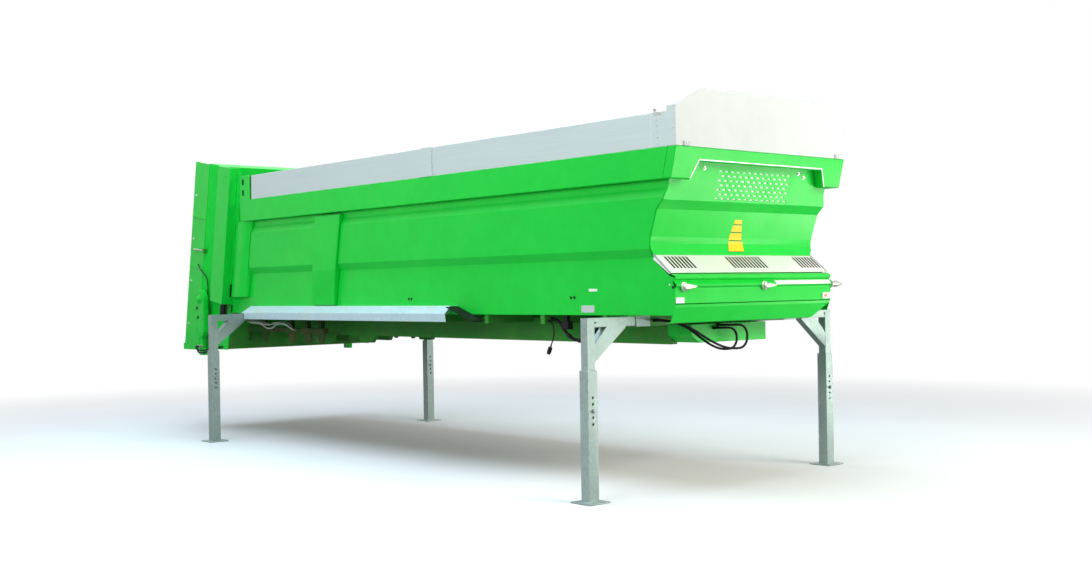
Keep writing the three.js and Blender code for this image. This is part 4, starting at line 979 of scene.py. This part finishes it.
cut_out = ((-955, 2812), (-874, 2974), (874, 2974), (955, 2812))
solid("rail_flange", [([on_rail(*start_corner, 1), on_rail(*end_corner, 1),
                        on_rail(*end_corner, 70), on_rail(*start_corner, 70)],
                       Vector((0, 0, 6 * MM)))
                      for start_corner, end_corner in zip(cut_out, cut_out[1:])], 1, GREEN_PAINT)
solid("rail_edging", [([on_rail(y, z) for y, z in corners], Vector((1.8 * MM, 0, 0)))
                      for corners in (
    ((-950, 2817), (-870, 2980), (-876, 2990), (-962, 2817)),
    ((-870, 2980), (870, 2980), (876, 2990), (-876, 2990)),
    ((870, 2980), (950, 2817), (962, 2817), (876, 2990)))], 0.4, WHITE_ALUMINIUM)
SHEET_FACE = 1195
sheet = [(-2, 3096), (-2, 3442), (-109, 3442), (-109, 3399), (-299, 3399), (-299, 3096)]
rivets = []
for side, sign in SIDES:
    face = sign * SHEET_FACE
    solid(f"return_sheet_{side}", [across(sheet, face, face + sign * 3)], 1, BOARD_ALUMINIUM)
    outside = (face + sign * 3) * MM
    rivets += [(at(-0.221 - 0.003 * i, outside, 3.126 + 0.052 * i), outward(sign))
               for i in range(6)]
    rivets += [(at(-0.028, outside, 3.126 + 0.062 * i), outward(sign)) for i in range(6)]
    solid(f"pin_bracket_{side}", [across(rectangle(*corners), face, face + sign * 5)
                                  for corners in ((-264, -172, 3372, 3398),
                                                  (-262, -232, 3396, 3426))], 2, ZINC_PLATED)
    turned(f"pin_{side}", [(0, 7), (34, 7), (36, 4)],
           [(at(-0.247, (face - sign * 8) * MM, 3.424), outward(sign))], ZINC_PLATED)
fasteners("return_rivets", rivets, 13, 4, BOARD_ALUMINIUM, 17, 20)
fasteners("clamp_bolts", [(at(0.0175, y * MM, z * MM), FORWARDS)
                          for y in (-1086, -1054, 1054, 1086) for z in (3104, 3122)], 13, 2.5)
solid("headboard_trim", [across(rectangle(-16, 1.5, 3600, 3621), -879, 879)], 4, BOARD_ALUMINIUM)

# %% [markdown]
# ## The sides
# A blank plate and a blank label sit on the right-hand wall, with a few bolt heads. A black sheet
# fills the opening in each top rail's end plate as painted shade, so that it looks deep.

# %% Plates and bolts on the side walls
WALL_FACE = -1105                # outer face of the right-hand wall's lower part
wall_y = WALL_FACE * MM
solid("type_plate", [block(-1335, -1155, WALL_FACE - 3, WALL_FACE, 1645, 1710)], 1, BOARD_ALUMINIUM)
solid("side_label", [block(-1230, -1115, WALL_FACE - 1.5, WALL_FACE, 1842, 1866)], 0.4, WHITE_VINYL)
fasteners("plate_rivets", [(at(x, wall_y - 0.003, z), RIGHTWARDS)
                           for x in (-1.325, -1.165) for z in (1.655, 1.700)], 7, 3, sides=20)
fasteners("wall_bolts", [(at(x * MM, wall_y, 1.786), RIGHTWARDS)
                         for x in (-1479, -1432, -4138, -4090)], 19, 9, BLACK_PAINT)
turned("wall_grommets", [(0, 13), (4, 13), (6, 8)], [(at(-0.150, wall_y, 1.868), RIGHTWARDS)],
       PLASTIC)
turned("wall_plugs", [(0, 8), (3, 8), (4, 5)], [(at(-0.190, wall_y, 1.892), RIGHTWARDS)],
       WHITE_VINYL)
for side, sign in SIDES:
    # Black sheets in the openings of the rail end plates paint the shade inside them.
    solid(f"end_plate_shade_sheet_{side}",
          [across(rectangle(-7738, -7660, 3140, 3372), sign * 1178, sign * 1187)], 1, BLACK_PAINT)

# %% [markdown]
# ## The rear unit
# The spreader's side plates are stiffened by flat bars, and bolts near their rear edge hold the
# inner guards. A gear case on the right drives the scraper chain: its cover is screwed down all
# round, and two steel pipes feed its motor. A pipe is swept along a few chosen places. A hose would
# sag, and a pipe keeps its bends.

# %% Pipes


def pipe(name, places, radius_mm, finish, steps=5):
    """A rigid pipe through a few places, its corners evened out."""
    route = [places[0]]
    for a, b in zip(places, places[1:]):
        route += [a.lerp(b, i / steps) for i in range(1, steps + 1)]
    mesh = evaluated(hold(name, round_curve(name, evened(route, 6), radius_mm * MM, 3)))
    mesh.shade_smooth()
    mesh.set_sharp_from_angle(angle=math.radians(40))
    return new_piece(name, mesh, finish)


# %% Side plates of the spreader
bars, guard_bolts, column_bolts = [], [], []
for side, sign in SIDES:
    inner, outer = sign * 1199.5, sign * 1214
    bars += [leaning(rectangle(-952, -556, w - 5, w + 5), inner, outer) for w in (1200, 512)]
    bars.append(leaning(rectangle(-563, -553, -450, 1940), inner, sign * 1207))
    guard_bolts += [(leaned(-0.885, sign * 1.2, w * MM), outward(sign))
                    for w in (1491, 891, 303, -303)]
    column_bolts += [(leaned(0.05, sign * 1.27, w * MM), outward(sign)) for w in (330, 1840)]
solid("side_plate_bars", bars, 1.5, GREEN_PAINT)
fasteners("guard_bolts", guard_bolts, 26, 12)
fasteners("column_bolts", column_bolts, 20, 9, GREEN_PAINT)
# The black strips low in the gap between each column and the side wall paint the shade in that gap;
# the strips above them are green.
for name, low, high, finish in (
    ("column_gap_shades", 250, 420, RUBBER), ("column_strips", 421, 1900, GREEN_PAINT),
):
    solid(name, [leaning(rectangle(167, 188, low, high), sign * 1106, sign * 1162)
                 for _, sign in SIDES], 3, finish)
lever_root, lever_tip = leaned(-0.52, -1.222, 0.773), leaned(-0.817, -1.222, 0.752)
turned("hand_lever", [(0, 11), (190, 9), (192, 15), (300, 14), (306, 8)],
       [(lever_root, lever_tip - lever_root)], ZINC_PLATED)
solid("lever_pivot", [leaning(rectangle(-548, -498, 745, 800), -1199.5, -1240)], 3, CHASSIS_PAINT)
pipe("grease_pipe", [leaned(*place) for place in (
    (-0.702, -1.21, 0.560), (-0.66, -1.212, 0.528), (-0.545, -1.215, 0.470),
    (-0.465, -1.19, 0.425), (-0.440, -1.17, 0.30), (-0.440, -1.17, 0.14))], 7, BLACK_PAINT)

# %% The gear case
CASE_X, CASE_TOP, CASE_BOTTOM, CASE_Y = -8862, 1809, 1406, -1262
CASE_RADIUS, SCREW_RADIUS = 118, 102


def round_the_case(radius, steps):
    """Points of x and z over the top of the case, and under its foot."""
    turns = [math.pi * i / steps for i in range(steps + 1)]
    return ([(CASE_X + radius * math.cos(a), CASE_TOP + radius * math.sin(a)) for a in turns]
            + [(CASE_X - radius * math.cos(a), CASE_BOTTOM - radius * math.sin(a)) for a in turns])


def on_case(x, z, out=5):
    return at(x * MM, (CASE_Y - out) * MM, z * MM), RIGHTWARDS


solid("gear_case_cover", [across(round_the_case(CASE_RADIUS, 12), CASE_Y, CASE_Y - 5)], 2, GREEN_PAINT)
screws = round_the_case(SCREW_RADIUS, 6)
screws += [(CASE_X + s * SCREW_RADIUS, z) for s in (-1, 1) for z in (1540, 1675)]
fasteners("gear_case_screws", [on_case(x, z) for x, z in screws], 15, 8, GREEN_PAINT)
# Black discs in the gear case's two holes paint the shade inside them.
turned("gear_case_hole_shades", [(0, 24), (5, 24), (6, 13), (3, 12)],
       [on_case(-8930, 1690), on_case(-8905, 1562)], PLASTIC)
turned("gear_case_shaft", [(0, 62), (8, 62), (12, 44), (26, 42), (30, 30), (38, 28)],
       [on_case(CASE_X, CASE_TOP, 4)], GREEN_PAINT, radius_mm=2)
port_xs = [(CASE_X + x) * MM for x in (-22, 22)]
turned("motor_fittings", [(0, 20), (10, 20), (12, 15), (34, 14), (36, 18), (52, 18), (54, 11)],
       [(at(x, -1.243, 1.170), RIGHTWARDS) for x in port_xs], ZINC_PLATED)
for i, x in enumerate(port_xs):
    end_x = -8.36 + 0.05 * i
    pipe(f"motor_pipe_{i + 1}", [at(*place) for place in (
        (x, -1.293, 1.170), (x, -1.318, 1.170), (x, -1.315, 1.13 - 0.04 * i),
        (x + 0.09, -1.30, 1.10 - 0.03 * i), (end_x - 0.16, -1.14, 1.16),
        (end_x - 0.04, -1.00, 1.22), (end_x, -0.90, 1.39), (end_x, -0.82, 1.395))], 11, BLACK_PAINT)

# %% [markdown]
# ## Underneath
# Under the rear half run steel pipes for the door and the floor drive, which bend into a rail with
# lugs. Each leg socket ends in a galvanised sleeve, so that the arm seems to run further in. A small
# junction box hangs beside the lead bundle.

# %% Pipes, lugs and sleeves
for number, (y, z, radius, dip) in enumerate((
    (-985, 1495, 10, 30), (-955, 1478, 10, 62), (-925, 1500, 8, 30),
), 1):
    pipe(f"service_pipe_{number}", spots([
        (-8062, y, 1532), (-8050, y, z), (-7700, y, z), (-7590, y, z - dip), (-7420, y, z - dip),
        (-7330, y, z), (-7120, y, z), (-7050, y + 40, z - 40), (-7010, -900, 1400),
        (-7000, -825, 1398)]), radius, ZINC_PLATED)
LUG_XS = (-8330, -7880, -7180, -6780, -6450)
LUG_Y = 813                      # the middle of the lug rail
lug = [(-95, 1372), (-62, 1268), (-30, 1232), (30, 1232), (62, 1268), (95, 1372)]
# The dark soiled paint on the lugs, their rail and posts paints the shade under the body, with brown
# dirt.
solid("beam_lugs", [across([(x + dx, z) for dx, z in lug], sign * (LUG_Y + 7), sign * (LUG_Y - 7))
                    for x in LUG_XS for _, sign in SIDES], 2, SOILED_SHADED_PAINT)
solid("lug_rail", [block(-8420, -6350, sign * LUG_Y - 35, sign * LUG_Y + 35, 1366, 1425)
                   for _, sign in SIDES], 4, SOILED_SHADED_PAINT)
for side, sign in SIDES:
    solid(f"lug_posts_{side}", [
        block(x - 30, x + 30, sign * LUG_Y - 30, sign * LUG_Y + 30, 1420, 1535)
        for x in LUG_XS], 3, SOILED_SHADED_PAINT)
sleeves = []
for x in LEG_XS:
    for _, sign in SIDES:
        y0, y1 = sorted((sign * 955, sign * 1131))
        sleeves += [block(x + 48, x + 50, y0, y1, 1522, 1619.5),
                    block(x - 50, x - 48, y0, y1, 1522, 1619.5),
                    block(x - 50, x + 50, y0, y1, 1520.5, 1522.8)]
solid("socket_sleeves", sleeves, 0.6, GALVANISED_STEEL)
turned("arm_plugs", [(0, 9), (4, 9), (5, 5)],
       [(at(-0.595, sign * 1.632, 1.571), FORWARDS) for _, sign in SIDES], PLASTIC)
# Black discs at the middle pin hole of each leg paint the shade in that hole.
turned("leg_hole_shade_discs", [(0, 17), (3, 17), (4, 14)],
       [(at((x + 56) * MM, sign * LEG_Y * MM, 0.804), FORWARDS)
        for x in LEG_XS for _, sign in SIDES], BLACK_PAINT)
solid("junction_box", [block(-1660, -1560, -1075, -1010, 1480, 1560)], 6, PLASTIC)
solid("junction_stem", [block(-1630, -1590, -1060, -1020, 1555, 1619)], 3, PLASTIC)

# %% [markdown]
# ## Floor, backdrop and light
# The floor is plain and pale, and takes the object's shadow. Far from the machine it fades to the
# white of the backdrop, so that no horizon shows. Where the camera, metal or glass looks past the
# object it sees white, which the Light Path node picks out, and no matt surface is lit by it. A
# broad, warm soft box lights the front, and a panel near the floor lights the folds that lean down
# there. A third box is high above, a little cool like an open sky, and a fourth fills the side. The
# floor throws less light back than it shows, so that folds that face down stay darker.

# %% Floor and backdrop


def floor_material():
    material = bpy.data.materials.new("pale studio floor")
    material.use_nodes = True
    tree = material.node_tree
    tree.nodes.clear()
    place = add(tree, "ShaderNodeTexCoord").outputs["Object"]
    shader = add(tree, "ShaderNodeBsdfPrincipled", {"Roughness": 0.85})
    tone = pattern(tree, place, 2500, 2, 0.3, 0.7)
    link(tree, laid(tree, "#f1f1ef", "#f6f6f4", tone), shader.inputs["Base Color"])
    away = add(tree, "ShaderNodeVectorMath", {"operation": "LENGTH"}, {0: place})
    far = add(tree, "ShaderNodeMapRange", {1: 5.5, 2: 13.0}, {0: away})
    seen = add(tree, "ShaderNodeLightPath").outputs["Is Camera Ray"]
    bounce = add(tree, "ShaderNodeBsdfDiffuse", {"Color": linear("#a9aba9")})
    shaded = add(tree, "ShaderNodeMixShader", None, {0: seen, 1: bounce, 2: shader})
    glow = add(tree, "ShaderNodeEmission", {"Color": (1, 1, 1, 1), "Strength": 1.0})
    paling = add(tree, "ShaderNodeMath", {"operation": "MULTIPLY"}, {0: far, 1: seen})
    mixed = add(tree, "ShaderNodeMixShader", None, {0: paling, 1: shaded, 2: glow})
    add(tree, "ShaderNodeOutputMaterial", links={"Surface": mixed})
    return material


floor_mesh = bpy.data.meshes.new("studio_floor")
reach = 60
floor_mesh.from_pydata(
    [(-reach, -reach, 0), (reach, -reach, 0), (reach, reach, 0), (-reach, reach, 0)],
    [], [(0, 1, 2, 3)])
floor_mesh.materials.append(floor_material())
studio_floor = bpy.data.objects.new("studio_floor", floor_mesh)
studio_floor.location.z = -0.001
bpy.context.scene.collection.objects.link(studio_floor)
print("the floor is", 2 * reach, "m wide")

# %% World and soft boxes


def background_rays(tree):
    """One for the rays by which the camera, metal or glass sees the background."""
    path = add(tree, "ShaderNodeLightPath").outputs
    seen = path["Is Camera Ray"]
    for ray in ("Is Glossy Ray", "Is Transmission Ray"):
        seen = add(tree, "ShaderNodeMath", {"operation": "MAXIMUM"}, {0: seen, 1: path[ray]})
    return seen


world = bpy.data.worlds.new("white studio")
world.use_nodes = True
bpy.context.scene.world = world
sky = world.node_tree
sky.nodes.clear()
lit = add(sky, "ShaderNodeBackground", {"Color": linear("#f4f7fb"), "Strength": 0.3})
white = add(sky, "ShaderNodeBackground", {"Color": (1, 1, 1, 1), "Strength": 1.0})
mixed = add(sky, "ShaderNodeMixShader", None, {0: background_rays(sky), 1: lit, 2: white})
add(sky, "ShaderNodeOutputWorld", None, {"Surface": mixed})


def soft_box(name, place, target, width, height, power, colour="#ffffff"):
    data = bpy.data.lights.new(name, "AREA")
    data.shape = "RECTANGLE"
    data.size, data.size_y = width, height
    data.energy = power
    data.color = linear(colour)[:3]
    lamp = bpy.data.objects.new(name, data)
    lamp.location = place
    lamp.rotation_euler = (Vector(target) - Vector(place)).to_track_quat("-Z", "Y").to_euler()
    bpy.context.scene.collection.objects.link(lamp)


soft_box("front soft box", (15, 3, 7.5), (3.5, 0, 2.2), 7, 5, 1260, "#fff8ea")
soft_box("floor panel", (9.4, 5.4, 0.1), (9.0, 4.9, 3), 8, 7, 1500, "#fbfff4")
bpy.data.objects["floor panel"].visible_camera = False
soft_box("sky soft box", (0, -2, 11), (0, 0, 2), 14, 9, 1500, "#d8ecff")
soft_box("side soft box", (4, -15, 6), (-1.5, 0, 2.2), 12, 5, 1100)
bpy.context.scene.view_settings.view_transform = "Standard"
print("lamps:", len(bpy.data.lights))
